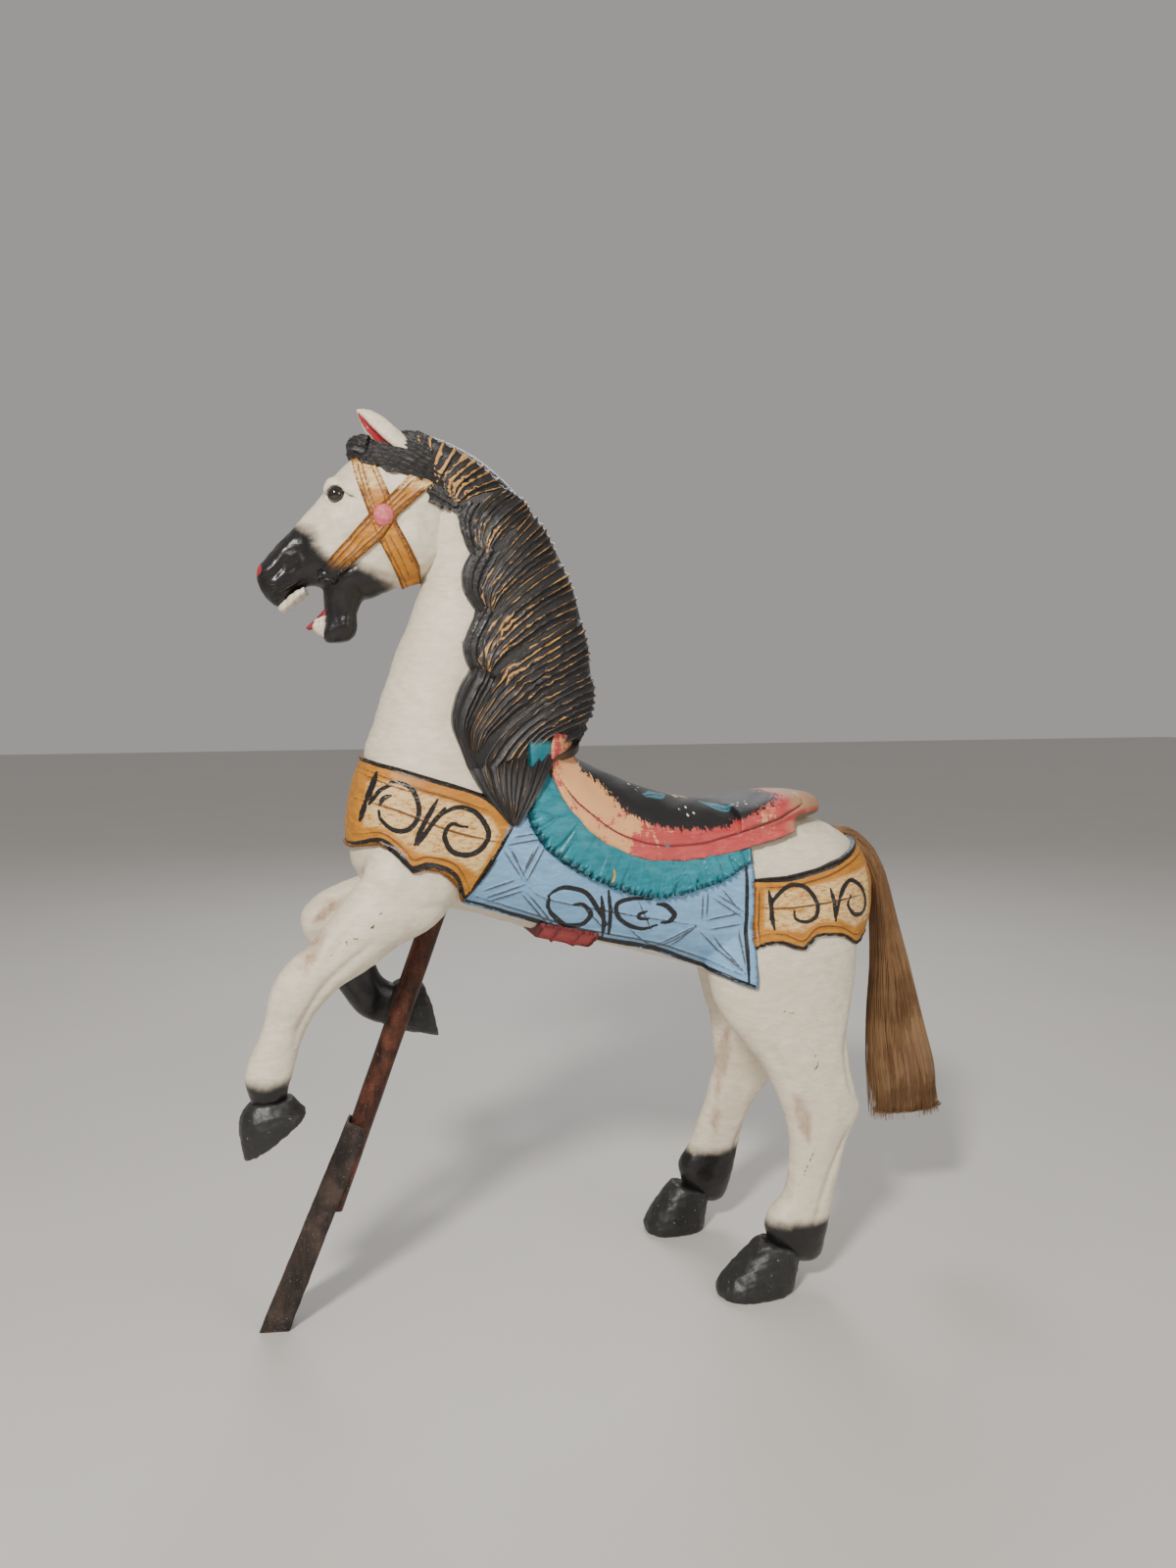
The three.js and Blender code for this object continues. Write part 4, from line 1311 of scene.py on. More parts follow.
def saddle(base):
    block = layer(base, SADDLE_OUTLINE, 12)
    skin = melted([block, loft(CANTLE, 64, 8, square=3)], 2.2)
    x = skin.v[:, 0]
    skin.smooth(np.where(x > 236, 0.5, 0.35), 4)
    skin.smooth(0.5 * ramp(x, 225, 245) * ramp(x, 330, 300), 14)
    p = skin.side()
    cut_line = brushes(p, SADDLE_LINE, 0.1)
    fur = inside(p, SADDLE_FUR)
    skin.push(-1.4 * ramp(cut_line, 1.6, -0.8) + 0.5 * waver(skin.v, 30, 15) + 0.4 * ramp(fur, 1, -1))
    normal = skin.normals()
    x, y, z = skin.v.T
    top = np.stack([x, -np.abs(y)], 1)
    petals = []
    for k in range(6):
        turn = math.radians(60 * k + 20)
        petals.append([9, (172 + 4 * math.cos(turn), 5 * math.sin(turn)), (172 + 19 * math.cos(turn),
            19 * math.sin(turn))])
    whole_top = np.stack([x, y], 1)
    leaves = [[17, (152, -22), (138, -34), (122, -44)], [17, (198, -24), (212, -36), (228, -46)]]
    veins = [[1.8, (156, -20), (138, -34), (120, -46)], [1.8, (194, -22), (212, -36), (230, -48)]]
    dots = [[4.5, (a, b), (a + 1, b)] for a, b in (
        (160, -52), (168, -58), (177, -54), (170, -46), (106, -30), (112, -40), (118, -30), (236, -44),
            (243, -52), (231, -54), (246, -40))]
    above = ramp(normal[:, 2], 0.1, 0.3)
    far = 9 * (1 - above)
    masks = {
        "cavity": skin.cavity(2),
        "cut": cut_line,
        "fur": fur + 40 * ramp(-normal[:, 2], 0.1, 0.4),
        "petal": brushes(whole_top, petals, 0.5) + far,
        "leaf": np.maximum(brushes(top, leaves, 0.5), -brushes(top, veins)) + far,
        "dot": brushes(top, dots, 0.01) + far,
        "ochre": ramp(x, 150, 60) - 0.35 * ramp(x, 40, 10) * ramp(z, 590, 606),
        "tan": ramp(x, 262, 316) * ramp(normal[:, 2], -0.3, 0.3) * (1 - 0.4 * ramp(fur, 14, 2)),
        # painted shade under the cantle: the faces that turn down at the back of the saddle
        "shade_under": ramp(-normal[:, 2], 0.05, 0.5) * ramp(x, 226, 250),
    }
    piece("saddle", skin, saddle_paint(), "carved_horse", masks)


def buckle(base):
    skin = layer(base, GIRTH_BUCKLE, 7)
    p = skin.side()
    grooves = [[2.4, (17, 445), (14, 410)], [2.4, (42, 440), (39, 404)]]
    groove = brushes(p, grooves, 0.05)
    skin.push(rounded_edge(skin, GIRTH_BUCKLE, 3) - 2.2 * ramp(groove, 1.4, -0.6))
    red = simple_paint("girth_red", (0.50, 0.055, 0.05), (0.36, 0.03, 0.03), (0.07, 0.01, 0.01), (0.66, 0.2,
        0.17))
    piece("girth_buckle", skin, red, "carved_horse", {"cavity": 1.4 * skin.cavity(2)})


# ---------------------------------------------------------------- mane

CREST = [
    (-134, 970, 20, 12), (-112, 973, 24, 14), (-88, 966, 32, 27), (-51, 945, 38, 44), (-10, 908, 43, 61),
    (20, 866, 47, 76), (44, 818, 50, 90), (58, 770, 55, 105), (67, 722, 61, 118), (66, 684, 66, 124),
    (54, 648, 70, 118), (38, 626, 68, 113), (4, 600, 66, 100), (-20, 560, 66, 90),
]
# Each lock: its upper and its lower edge from the crest to the tip, its flutes, its bulge, how much gold.
LOCKS = [
    ([(-128, 969), (-124, 954), (-121, 938), (-118, 918)], [(-80, 949), (-93, 936), (-104, 924), (-112,
        914)], 4, 4, 0.34),
    ([(-80, 949), (-95, 935), (-104, 921), (-98, 901)], [(-40, 918), (-56, 913), (-72, 908), (-90, 897)], 5,
        5, 0.34),
    ([(-40, 918), (-63, 901), (-75, 882), (-76, 863), (-69, 842), (-59, 829)], [(-7, 893), (-32, 874), (-49,
        857), (-57, 842), (-58, 828)], 7, 6, 0.16),
    ([(-7, 893), (-32, 866), (-50, 843), (-61, 825), (-68, 807), (-64, 790), (-57, 776)], [(21, 844), (-8,
        828), (-33, 809), (-50, 792), (-56, 775)], 7, 6, 0.15),
    ([(21, 844), (-14, 820), (-43, 794), (-57, 776), (-69, 755), (-72, 736), (-68, 721), (-62, 709)], [(44,
        782), (13, 770), (-16, 753), (-44, 735), (-57, 722), (-62, 708)], 7, 7, 0.18),
    ([(44, 782), (7, 759), (-28, 737), (-58, 711), (-72, 689), (-85, 664), (-86, 648), (-80, 630)], [(56,
        724), (24, 709), (-12, 690), (-42, 669), (-64, 649), (-76, 626)], 7, 7, 0.15),
    ([(56, 724), (5, 701), (-42, 669), (-69, 641), (-76, 620), (-66, 588), (-45, 558)], [(60, 666), (32,
        657), (5, 647), (-14, 626), (-25, 599), (-36, 574), (-43, 557)], 8, 7, 0.1),
    ([(60, 666), (32, 657), (5, 647), (-14, 626), (-25, 599), (-36, 574), (-43, 557)], [(52, 646), (38,
        632), (12, 623), (0, 608), (-16, 584), (-36, 556)], 3, 2, -0.4),
]
FRINGES = [
    ([(-104, 897), (-96, 905), (-120, 925), (-124, 922)], [(-86, 899), (-90, 890), (-118, 900), (-126,
        908)], 2, 3, -0.3),
    ([(-84, 900), (-89, 882), (-85, 863), (-79, 848), (-68, 834), (-59, 828)], [(-62, 900), (-75, 882),
        (-75, 863), (-68, 842), (-58, 830)], 3, 4, -0.25),
    ([(-74, 852), (-86, 830), (-87, 812), (-81, 796), (-72, 784), (-57, 775)], [(-46, 848), (-60, 825),
        (-67, 807), (-63, 790), (-56, 777)], 3, 4, -0.25),
    ([(-69, 792), (-81, 767), (-88, 749), (-87, 736), (-81, 722), (-63, 708)], [(-52, 781), (-68, 755),
        (-71, 736), (-67, 721), (-61, 710)], 3, 4, -0.25),
    ([(-80, 726), (-94, 705), (-102, 682), (-103, 663), (-95, 640), (-84, 611), (-66, 582), (-45, 557)],
        [(-56, 716), (-71, 689), (-84, 664), (-85, 648), (-76, 622), (-64, 590), (-43, 558)], 4, 5, -0.2),
]
GOLD_SPOTS = [(-117, 948), (-92, 918), (-77, 945), (-72, 897), (6, 747), (-38, 768), (-54, 768), (-49, 715),
    (-77, 677), (-25, 631), (-10, 631), (8, 752), (-10, 742)]
WITHERS = {"middle": 547, "half_height": 98, "half_width": 84}
FLUTE_STOPS = np.array([0, 0.07, 0.25, 0.5, 0.75, 0.93])


def crest_width(p):
    """The mane's half width at side-view points, from how far in from the crest they are."""
    fine = curve(CREST, 10)
    gap = np.linalg.norm(p[:, None] - fine[None, :, :2], axis=2)
    near = gap.argmin(1)
    inward = np.clip(gap[np.arange(len(p)), near] / fine[near, 3], 0, 1)
    hair = fine[near, 2] * (1 - (1 - inward) ** 2.2) ** (1 / 2.2)
    height = np.clip(np.abs(p[:, 1] - WITHERS["middle"]) / WITHERS["half_height"], 0, 1)
    withers = WITHERS["half_width"] * (1 - height**2.3) ** (1 / 2.3)
    return np.maximum(hair, withers)


def lock(upper, lower, flutes, bulge, gold, over_crest, side=-1, rows=44, lift=2.0, seed=0):
    """One carved lock as a closed slab: hollow flutes with sharp ridges between, down to the tip."""
    start = 1.7 if over_crest else 1.0
    up, down = (spaced(curve(edge, 10), rows, start) for edge in (upper, lower))
    if over_crest:
        up, down = (np.vstack([edge[:0:-1], edge]) for edge in (up, down))
    v = np.append((np.arange(flutes)[:, None] + FLUTE_STOPS).ravel() / flutes, 1.0)
    dice = np.random.default_rng(seed)
    shift = np.interp(v * flutes, np.arange(flutes + 1), dice.normal(0, 0.13,
        flutes + 1)) * np.sin(math.pi * v) / flutes
    across = v + shift
    p = up[:, None] * (1 - across)[None, :, None] + down[:, None] * across[None, :, None]
    n, m = p.shape[:2]
    y = side * crest_width(p.reshape(-1, 2)).reshape(n, m)
    if over_crest:
        y[n // 2 :] *= -1
    skin = Skin(np.stack([p[..., 0], y, p[..., 1]], -1).reshape(-1, 3), grid_faces(n, m))
    normal = skin.normals()
    facing = (normal[:, 1] * skin.v[:, 1]).sum()
    if facing < 0:
        skin.f, normal = skin.f[:, ::-1], -normal
    w = (v * flutes) % 1
    width = np.linalg.norm(up - down, axis=1) / flutes
    ridge_height = np.interp(v * flutes, np.arange(flutes + 1), dice.uniform(-0.7, 0.9, flutes + 1))
    cup = -4 * w * (1 - w)
    swell = np.sin(math.pi * np.clip(v, 0, 1)) ** 0.55
    depth = np.clip(0.42 * width, 0.2, 3.4)[:, None]
    tip = np.clip(width / 3.0, 0.15, 1)[:, None]
    height = lift + bulge * swell[None] * tip + depth * (cup + 0.5)[None] + ridge_height[None] * tip
    top = skin.v + normal * height.reshape(-1, 1)
    low = skin.v - normal * 5
    rim = np.concatenate([np.arange(m), np.arange(1, n) * m + m - 1, (n - 1) * m + np.arange(m - 2, -1, -1),
        np.arange(n - 2, 0, -1) * m])
    nxt = np.roll(rim, -1)
    count = n * m
    wall = np.concatenate([np.stack([rim, rim + count, nxt], 1), np.stack([nxt, rim + count, nxt + count],
        1)])
    if facing < 0:
        wall = wall[:, ::-1]
    whole = Skin(np.vstack([top, low]), np.concatenate([skin.f, skin.f[:, ::-1] + count, wall[:, ::-1]]))
    along = np.concatenate([[0], np.cumsum(np.linalg.norm(np.diff((up + down) / 2, axis=0), axis=1))]) * 0.001
    flow = np.stack(np.broadcast_arrays(v[None] * width.max() * flutes * 0.001, along[:, None]),
        -1).reshape(-1, 2)
    ridge = np.broadcast_to((2 * np.abs(w - 0.5)) ** 1.6, (n, m)).ravel()
    spots = np.min([np.linalg.norm(p.reshape(-1, 2) - s, axis=1) for s in GOLD_SPOTS], axis=0)
    gilt = gold + 0.42 * bump(spots, 8)
    twice = [np.concatenate([values, values]) for values in (flow + seed * 0.37, ridge, gilt)]
    return whole, *twice


def mane():
    made = [lock(*spec, over_crest=True, seed=k) for k, spec in enumerate(LOCKS)]
    for side in (-1, 1):
        made += [lock(*spec, over_crest=False, side=side, lift=3.0, seed=30 + k) for k,
            spec in enumerate(FRINGES)]
    skin = joined(*(part[0] for part in made))
    flow, ridge, gilt = (np.concatenate([part[k] for part in made]) for k in (1, 2, 3))
    skin.v += 0.25 * waver(skin.v, 9, 20)[:, None] * skin.normals()
    masks = {"ridge": ridge, "gold": gilt}
    piece("mane", skin, black_mane, "carved_horse", masks, flow, 40)
    core = cut(loft(MANE_BLANK, 56, 6, proud=1.0), MANE_CORE)
    flat = np.zeros(len(core.v))
    masks = {"ridge": flat, "gold": flat - 0.5}
    piece("mane_core", core, black_mane, "carved_horse", masks, core.side() * 0.001, 40)


MANE_CORE = [
    (-30, 562), (-48, 566), (-66, 590), (-82, 620), (-94, 650), (-96, 676), (-86, 706), (-78, 726), (-82,
        750),
    (-74, 786), (-80, 812), (-74, 850), (-80, 880), (-84, 894), (-108, 902), (-122, 910), (-122, 930),
        (-150, 990),
    (120, 990), (120, 640), (46, 634), (29, 628), (4, 604), (-12, 580),
]


# ---------------------------------------------------------------- head, in its own frame

HEAD_STROKES = [
    [2.6, 6, (-116, 921), (-106, 922), (-94, 914), (-86, 906)],
    [-1.6, 2.6, (-97, 910), (-88, 906), (-78, 902)],
    [-3.0, 9, (-140, 872), (-124, 884), (-112, 892)],
    [2.2, 7, (-96, 888), (-124, 866), (-140, 848)],
    [-2.0, 5, (-134, 862), (-139, 846), (-149, 830), (-160, 824)],
    [-2.8, 3.6, (-170, 818), (-164, 825), (-157, 834), (-152, 842)],
    [1.8, 5, (-178, 822), (-170, 832), (-160, 846), (-146, 864)],
    [-2.4, 2.2, (-176, 796), (-156, 805), (-140, 815), (-124, 818), (-114, 815)],
    [1.6, 3.5, (-176, 803), (-156, 812), (-138, 822)],
    [2.0, 4.5, (-121, 819), (-113, 815)],
    [-1.6, 1.8, (-125, 823), (-117, 827), (-109, 824), (-106, 817), (-110, 811)],
    [-2.2, 4, (-100, 822), (-80, 833), (-57, 824), (-36, 818)],
    [-1.6, 4, (-104, 806), (-100, 790), (-98, 770)],
    [1.6, 7, (-96, 815), (-76, 818)],
    [-1.8, 7, (-60, 838), (-78, 850), (-92, 866)],
    [1.6, 5, (-36, 826), (-10, 836), (8, 854), (12, 876)],
    [-1.2, 4, (-30, 905), (-12, 890), (-2, 870)],
]
MUZZLE_EDGE = [(-165, 878), (-148, 877), (-134, 871), (-124, 866), (-122, 853), (-112, 843), (-102, 838),
    (-79, 832), (-62, 826), (-44, 812), (-60, 730), (-140, 730), (-260, 730), (-260, 878)]
STRAP_UP = [(-84, 946), (-78, 923), (-67, 893), (-60, 874), (-54, 858), (-44, 839), (-36, 821), (-33, 812),
    (-15, 812), (-15, 832), (-25, 853), (-38, 877), (-46, 908), (-62, 944)]
STRAP_ACROSS = [(-22, 926), (-45, 902), (-65, 884), (-87, 860), (-104, 842), (-121, 822), (-104, 816),
    (-100, 823), (-75, 844), (-51, 864), (-36, 886), (-8, 912), (0, 920)]
STRAP_UP_CUT = [
    [1.8, (-79, 946), (-72, 918), (-58, 880), (-48, 856), (-31, 820), (-29, 812)], [1.8, (-74, 944), (-66,
        914), (-56, 884)],
    [1.8, (-66, 944), (-51, 909), (-42, 880), (-29, 854), (-20, 832)], [1.5, (-46, 866), (-34, 844), (-25,
        822)],
]
STRAP_ACROSS_CUT = [
    [1.8, (-19, 922), (-43, 897), (-63, 879), (-85, 855), (-117, 821)], [1.8, (-26, 908), (-42, 892), (-60,
        876)],
    [1.8, (-6, 916), (-39, 889), (-53, 869), (-77, 848), (-104, 824)], [1.5, (-70, 862), (-84, 846), (-104,
        828)],
]
ROSETTE = (-50.5, 884.5)


def head_skin():
    """Skull, jaw and cheeks melted together and carved."""
    brow = [ball((-98, side * 22, 913), (16, 10, 11)) for side in (-1, 1)]
    nostril = [ball((-176, side * 14, 824), (11, 11, 12)) for side in (-1, 1)]
    chin = loft([[-120, 770, -88, 768, 0, 19], [-121, 760, -90, 760, 0, 18], [-116, 751, -94, 754, 0, 13]],
        40, 6)
    shells = [loft(SKULL, 64, 6), ball((-25, 0, 862), (42, 41, 42), 64), loft(JAW, 48, 6), chin, *brow,
        *nostril]
    skin = melted(shells, 1.6)
    skin.smooth(0.5, 12)
    side = ramp(np.abs(skin.v[:, 1]), 3, 10)
    carve(skin, HEAD_STROKES, side)
    eye = np.linalg.norm(skin.side() - EYE[[0, 2]], axis=1)
    opening = np.hypot((skin.v[:, 0] + 101.5) / 9.5, (skin.v[:, 2] - 907) / 8.2)
    skin.push(side * (-7.5 * ramp(opening, 1.05, 0.6) + 1.6 * bump(opening - 1.18, 0.16)))
    skin.push(side * 1.0 * bump(eye - 17, 5) * ramp(skin.v[:, 2], 905, 914))
    skin.push(0.35 * waver(skin.v, 22, 31) + 0.2 * waver(skin.v, 9, 32))
    skin.smooth(0.35, 1)
    return skin


def head():
    skin = head_skin()
    p = skin.side()
    x, y, z = skin.v.T
    opening = np.hypot((x + 101.5) / 9.5, (z - 907) / 8.2)
    lid = 7 * (opening - 0.98) + 30 * ramp(np.abs(y), 14, 8)
    # painted shadow: the crease under the brow is painted dark, over its carved groove
    crease = brush(p, [(-97, 912), (-88, 907), (-79, 903)], 1.9)
    black = inside(p, MUZZLE_EDGE)
    nose = np.hypot(x + 188, z - 829) - 7.5
    masks = {
        "cavity": skin.cavity(2),
        "black": np.minimum(black, 40),
        "brown": np.full(len(x), 40.0),
        "crack_and_crease_shade": np.where(np.abs(y) > 12, np.minimum(lid, crease), 9),
        "red": nose,
    }
    whole = Skin(turned(skin.v), skin.f)
    piece("head", whole, cream, "carved_horse", masks)
    bridle(skin)


def bridle(skull):
    paint = ochre_paint()
    for name, outline, lines, proud in (("cheek_strap", STRAP_UP, STRAP_UP_CUT, 2.2), ("nose_strap",
        STRAP_ACROSS, STRAP_ACROSS_CUT, 2.9)):
        band = layer(skull, outline, proud)
        p = band.side()
        groove = brushes(p, lines, 0.05)
        band.push(rounded_edge(band, outline, 1.6) - 1.0 * ramp(groove, 1.0, -0.5))
        masks = {
            "cavity": band.cavity(2),
            "cut": groove,
            "ink": np.full(len(p), 9.0),
            "panel": np.abs(band.v[:, 2] - 928) - 15,
            "black": inside(p, MUZZLE_EDGE) + 3,
        }
        piece(name, Skin(turned(band.v), band.f), paint, "carved_horse", masks)
    x, z = ROSETTE
    cups, domes = [], []
    for side in (-1, 1):
        cup = ball((x, side * 37, z), (14.2, 6.2, 15.6))
        dome = ball((x, side * 39.5, z), (11.6, 6.4, 13.2))
        dome.push(0.5 * waver(dome.v, 9, 40) + 0.35 * waver(dome.v, 4, 41))
        cups.append(cup)
        domes.append(dome)
    cup, dome = melted(cups, 1.2), melted(domes, 1.1)
    for ring in (cup, dome):
        ring.smooth(0.4, 2)
    none = np.full(len(cup.v), 20.0)
    masks = {"cavity": 2 * cup.cavity(1), "cut": none, "ink": none, "panel": none, "black": none}
    piece("rosette_cup", Skin(turned(cup.v), cup.f), paint, "carved_horse", masks)
    q = dome.side() - ROSETTE
    rim = np.hypot(q[:, 0] / 11.6, q[:, 1] / 13.2)
    masks = {"cavity": 2 * dome.cavity(1), "rim": rim}
    piece("rosette", Skin(turned(dome.v), dome.f), rosette_paint(), "carved_horse", masks)


def mouth():
    upper, lower = loft(UPPER_TEETH, 48, 10, square=3), loft(LOWER_TEETH, 48, 10, square=3)
    for teeth, gaps in ((upper, [(-143, 812, -139, 794), (-151, 810, -147, 790), (-158, 804, -155, 784)]),
        (lower, [(-134, 773, -112, 775), (-123, 784, -122, 756)])):
        p = teeth.side()
        for x0, z0, x1, z1 in gaps:
            teeth.push(-1.3 * bump(distance(p, [(x0, z0), (x1, z1)])[0], 0.9))
    made = joined(*(melted([teeth], 0.9) for teeth in (upper, lower)))
    made.smooth(0.4, 2)
    ivory = simple_paint("teeth_paint", (0.80, 0.72, 0.60), (0.68, 0.58, 0.44), (0.12, 0.07, 0.04), (0.85,
        0.8, 0.7), 0.3)
    # The cavity mask, tripled, paints the gaps between the teeth darker: painted shade with grime.
    piece("teeth", Skin(turned(made.v), made.f), ivory, "carved_horse",
        {"cavity": 3 * made.cavity(1)})
    tongue = melted([loft(TONGUE, 32, 8)], 0.9)
    tongue.smooth(0.4, 3)
    red = simple_paint("tongue_red", (0.36, 0.03, 0.045), (0.24, 0.015, 0.03), (0.05, 0.005, 0.01), (0.5,
        0.12, 0.12), 0.3)
    piece("tongue", Skin(turned(tongue.v), tongue.f), red, "carved_horse",
        {"cavity": tongue.cavity(1)})


EAR_OPENS = 0.45  # radians, from straight ahead towards the outer side


def ears():
    """Both ears, each with a red hollow along its front edge."""
    sides, made, reds = 48, [], []
    for side in (-1, 1):
        rows = [[*row[:4], side * row[4], row[5]] for row in EAR]
        skin = loft(rows, sides, 10, square=1.8)
        rings = (len(skin.v) - 2) // sides
        angle = 2 * math.pi * np.arange(sides) / sides
        turn = np.abs((angle - side * EAR_OPENS + math.pi) % (2 * math.pi) - math.pi)
        row = np.arange(rings) / (rings - 1)
        length = ramp(row, 0.12, 0.3) * ramp(row, 0.97, 0.85)
        hollow = np.concatenate([(length[:, None] * ramp(turn, 0.95, 0.35)[None]).ravel(), [0, 0]])
        skin.push(-5.5 * hollow)
        melt = melted([skin], 1.4)
        melt.smooth(0.4, 3)
        made.append(melt)
        reds.append(nearest(skin.v, hollow, melt.v))
    whole = joined(*made)
    whole.push(0.35 * waver(whole.v, 9, 45))
    red = (0.3 - np.concatenate(reds)) * 6
    none = np.full(len(red), 40.0)
    masks = {"cavity": whole.cavity(2), "red": red, "black": none, "brown": none, "crack_and_crease_shade": none}
    piece("ears", Skin(turned(whole.v), whole.f), cream, "carved_horse", masks)


def nearest(points, values, wanted):
    """The value at the nearest of the points."""
    tree = KDTree(len(points))
    for k, point in enumerate(points):
        tree.insert(point, k)
    tree.balance()
    return values[[tree.find(q)[1] for q in wanted]]


def eyes():
    for side, name in ((-1, "left"), (1, "right")):
        orb = ball(EYE * (1, side, 1), (EYE_RADIUS,) * 3, 48)
        piece("glass_eye_" + name, Skin(turned(orb.v), orb.f), glass, "eye_" + name)


FORELOCK_TUFT = [
    [-91, 963, -91, 955, 0, 8],
    [-88, 969, -89, 949, 0, 19],
    [-80, 973, -83, 946, 0, 26],
    [-66, 974, -70, 942, 0, 29],
]
FORELOCK_OUTLINE = [
    (-84, 946), (-72, 941), (-60, 938), (-52, 934), (-44, 931), (-34, 929), (-24, 926), (-10, 922),
    (4, 918), (34, 902), (40, 990), (-80, 990), (-100, 960),
]


def forelock():
    """The black hair over the brow and between the ears, swept back in carved strands."""
    cap = cut(loft(SKULL, 64, 6, proud=5), FORELOCK_OUTLINE)
    skin = melted([cap, loft(FORELOCK_TUFT, 48, 8)], 1.5)
    skin.smooth(0.5, 4)
    x, y, z = skin.v.T
    slope = 0.42 * (x + 85) + (z - 958)
    around = slope - 0.55 * np.abs(y) + 2.2 * np.sin(x / 13.0 + 1) + 1.2 * waver(skin.v, 40, 50)
    phase = (around / 6.4) % 1
    skin.push(2.6 * (-4 * phase * (1 - phase) + 0.55) + 0.4 * waver(skin.v, 8, 51))
    flow = np.stack([around, x], 1) * 0.001
    masks = {"ridge": (2 * np.abs(phase - 0.5)) ** 1.6, "gold": ramp(x, -20, 20) * 0.3 - 0.5}
    piece("forelock", Skin(turned(skin.v), skin.f), black_mane, "carved_horse", masks, flow,
        40)


# ---------------------------------------------------------------- tail

STRANDS = 900
STRAND_STEPS = 16


def hair_tool(hair):
    """A node tool that gives every path of a mesh the thickness of a hair, thinning to its tip."""
    tree = bpy.data.node_groups.new("hair_strands", "GeometryNodeTree")
    face = tree.interface
    face.new_socket("Paths", in_out="INPUT", socket_type="NodeSocketGeometry")
    thickness = face.new_socket("Thickness", in_out="INPUT", socket_type="NodeSocketFloat")
    stray = face.new_socket("Stray", in_out="INPUT", socket_type="NodeSocketFloat")
    seed = face.new_socket("Seed", in_out="INPUT", socket_type="NodeSocketInt")
    face.new_socket("Hair", in_out="OUTPUT", socket_type="NodeSocketGeometry")

    def node(kind, **inputs):
        made = tree.nodes.new(kind)
        for label, value in inputs.items():
            socket = made.inputs[label.replace("_", " ")]
            if isinstance(value, bpy.types.NodeSocket):
                tree.links.new(value, socket)
            else:
                socket.default_value = value
        return made

    given = tree.nodes.new("NodeGroupInput").outputs
    paths = node("GeometryNodeMeshToCurve", Mesh=given["Paths"])
    along = tree.nodes.new("GeometryNodeSplineParameter").outputs["Factor"]
    place = tree.nodes.new("GeometryNodeInputPosition").outputs["Position"]
    shift = node("ShaderNodeVectorMath", Vector=place)
    shift.operation = "ADD"
    spread = node("ShaderNodeCombineXYZ", Z=given["Seed"])
    tree.links.new(spread.outputs["Vector"], shift.inputs[1])
    wander = node("ShaderNodeTexNoise", Vector=shift.outputs["Vector"], Scale=9.0, Detail=1.0)
    middle = node("ShaderNodeVectorMath", Vector=wander.outputs["Color"])
    middle.operation = "SUBTRACT"
    middle.inputs[1].default_value = (0.5, 0.5, 0.5)
    reach = node("ShaderNodeMath")
    reach.operation = "MULTIPLY"
    tree.links.new(along, reach.inputs[0])
    tree.links.new(given["Stray"], reach.inputs[1])
    offset = node("ShaderNodeVectorMath", Vector=middle.outputs["Vector"])
    offset.operation = "SCALE"
    tree.links.new(reach.outputs["Value"], offset.inputs["Scale"])
    moved = node("GeometryNodeSetPosition", Geometry=paths.outputs["Curve"], Offset=offset.outputs["Vector"])
    taper = node("ShaderNodeMapRange", Value=along)
    for label, value in (("From Min", 0.55), ("From Max", 1.0), ("To Min", 1.0), ("To Max", 0.25)):
        taper.inputs[label].default_value = value
    size = node("ShaderNodeMath")
    size.operation = "MULTIPLY"
    tree.links.new(taper.outputs["Result"], size.inputs[0])
    tree.links.new(given["Thickness"], size.inputs[1])
    ring = node("GeometryNodeCurvePrimitiveCircle", Resolution=4, Radius=1.0)
    tube = node("GeometryNodeCurveToMesh", Curve=moved.outputs["Geometry"],
        Profile_Curve=ring.outputs["Curve"])
    tree.links.new(size.outputs["Value"], tube.inputs["Scale"])
    tube.inputs["Fill Caps"].default_value = True
    real = node("GeometryNodeRealizeInstances", Geometry=tube.outputs["Mesh"])
    dyed = node("GeometryNodeSetMaterial", Geometry=real.outputs["Geometry"], Material=hair)
    tree.links.new(dyed.outputs["Geometry"], tree.nodes.new("NodeGroupOutput").inputs["Hair"])
    return tree, thickness.identifier, stray.identifier, seed.identifier


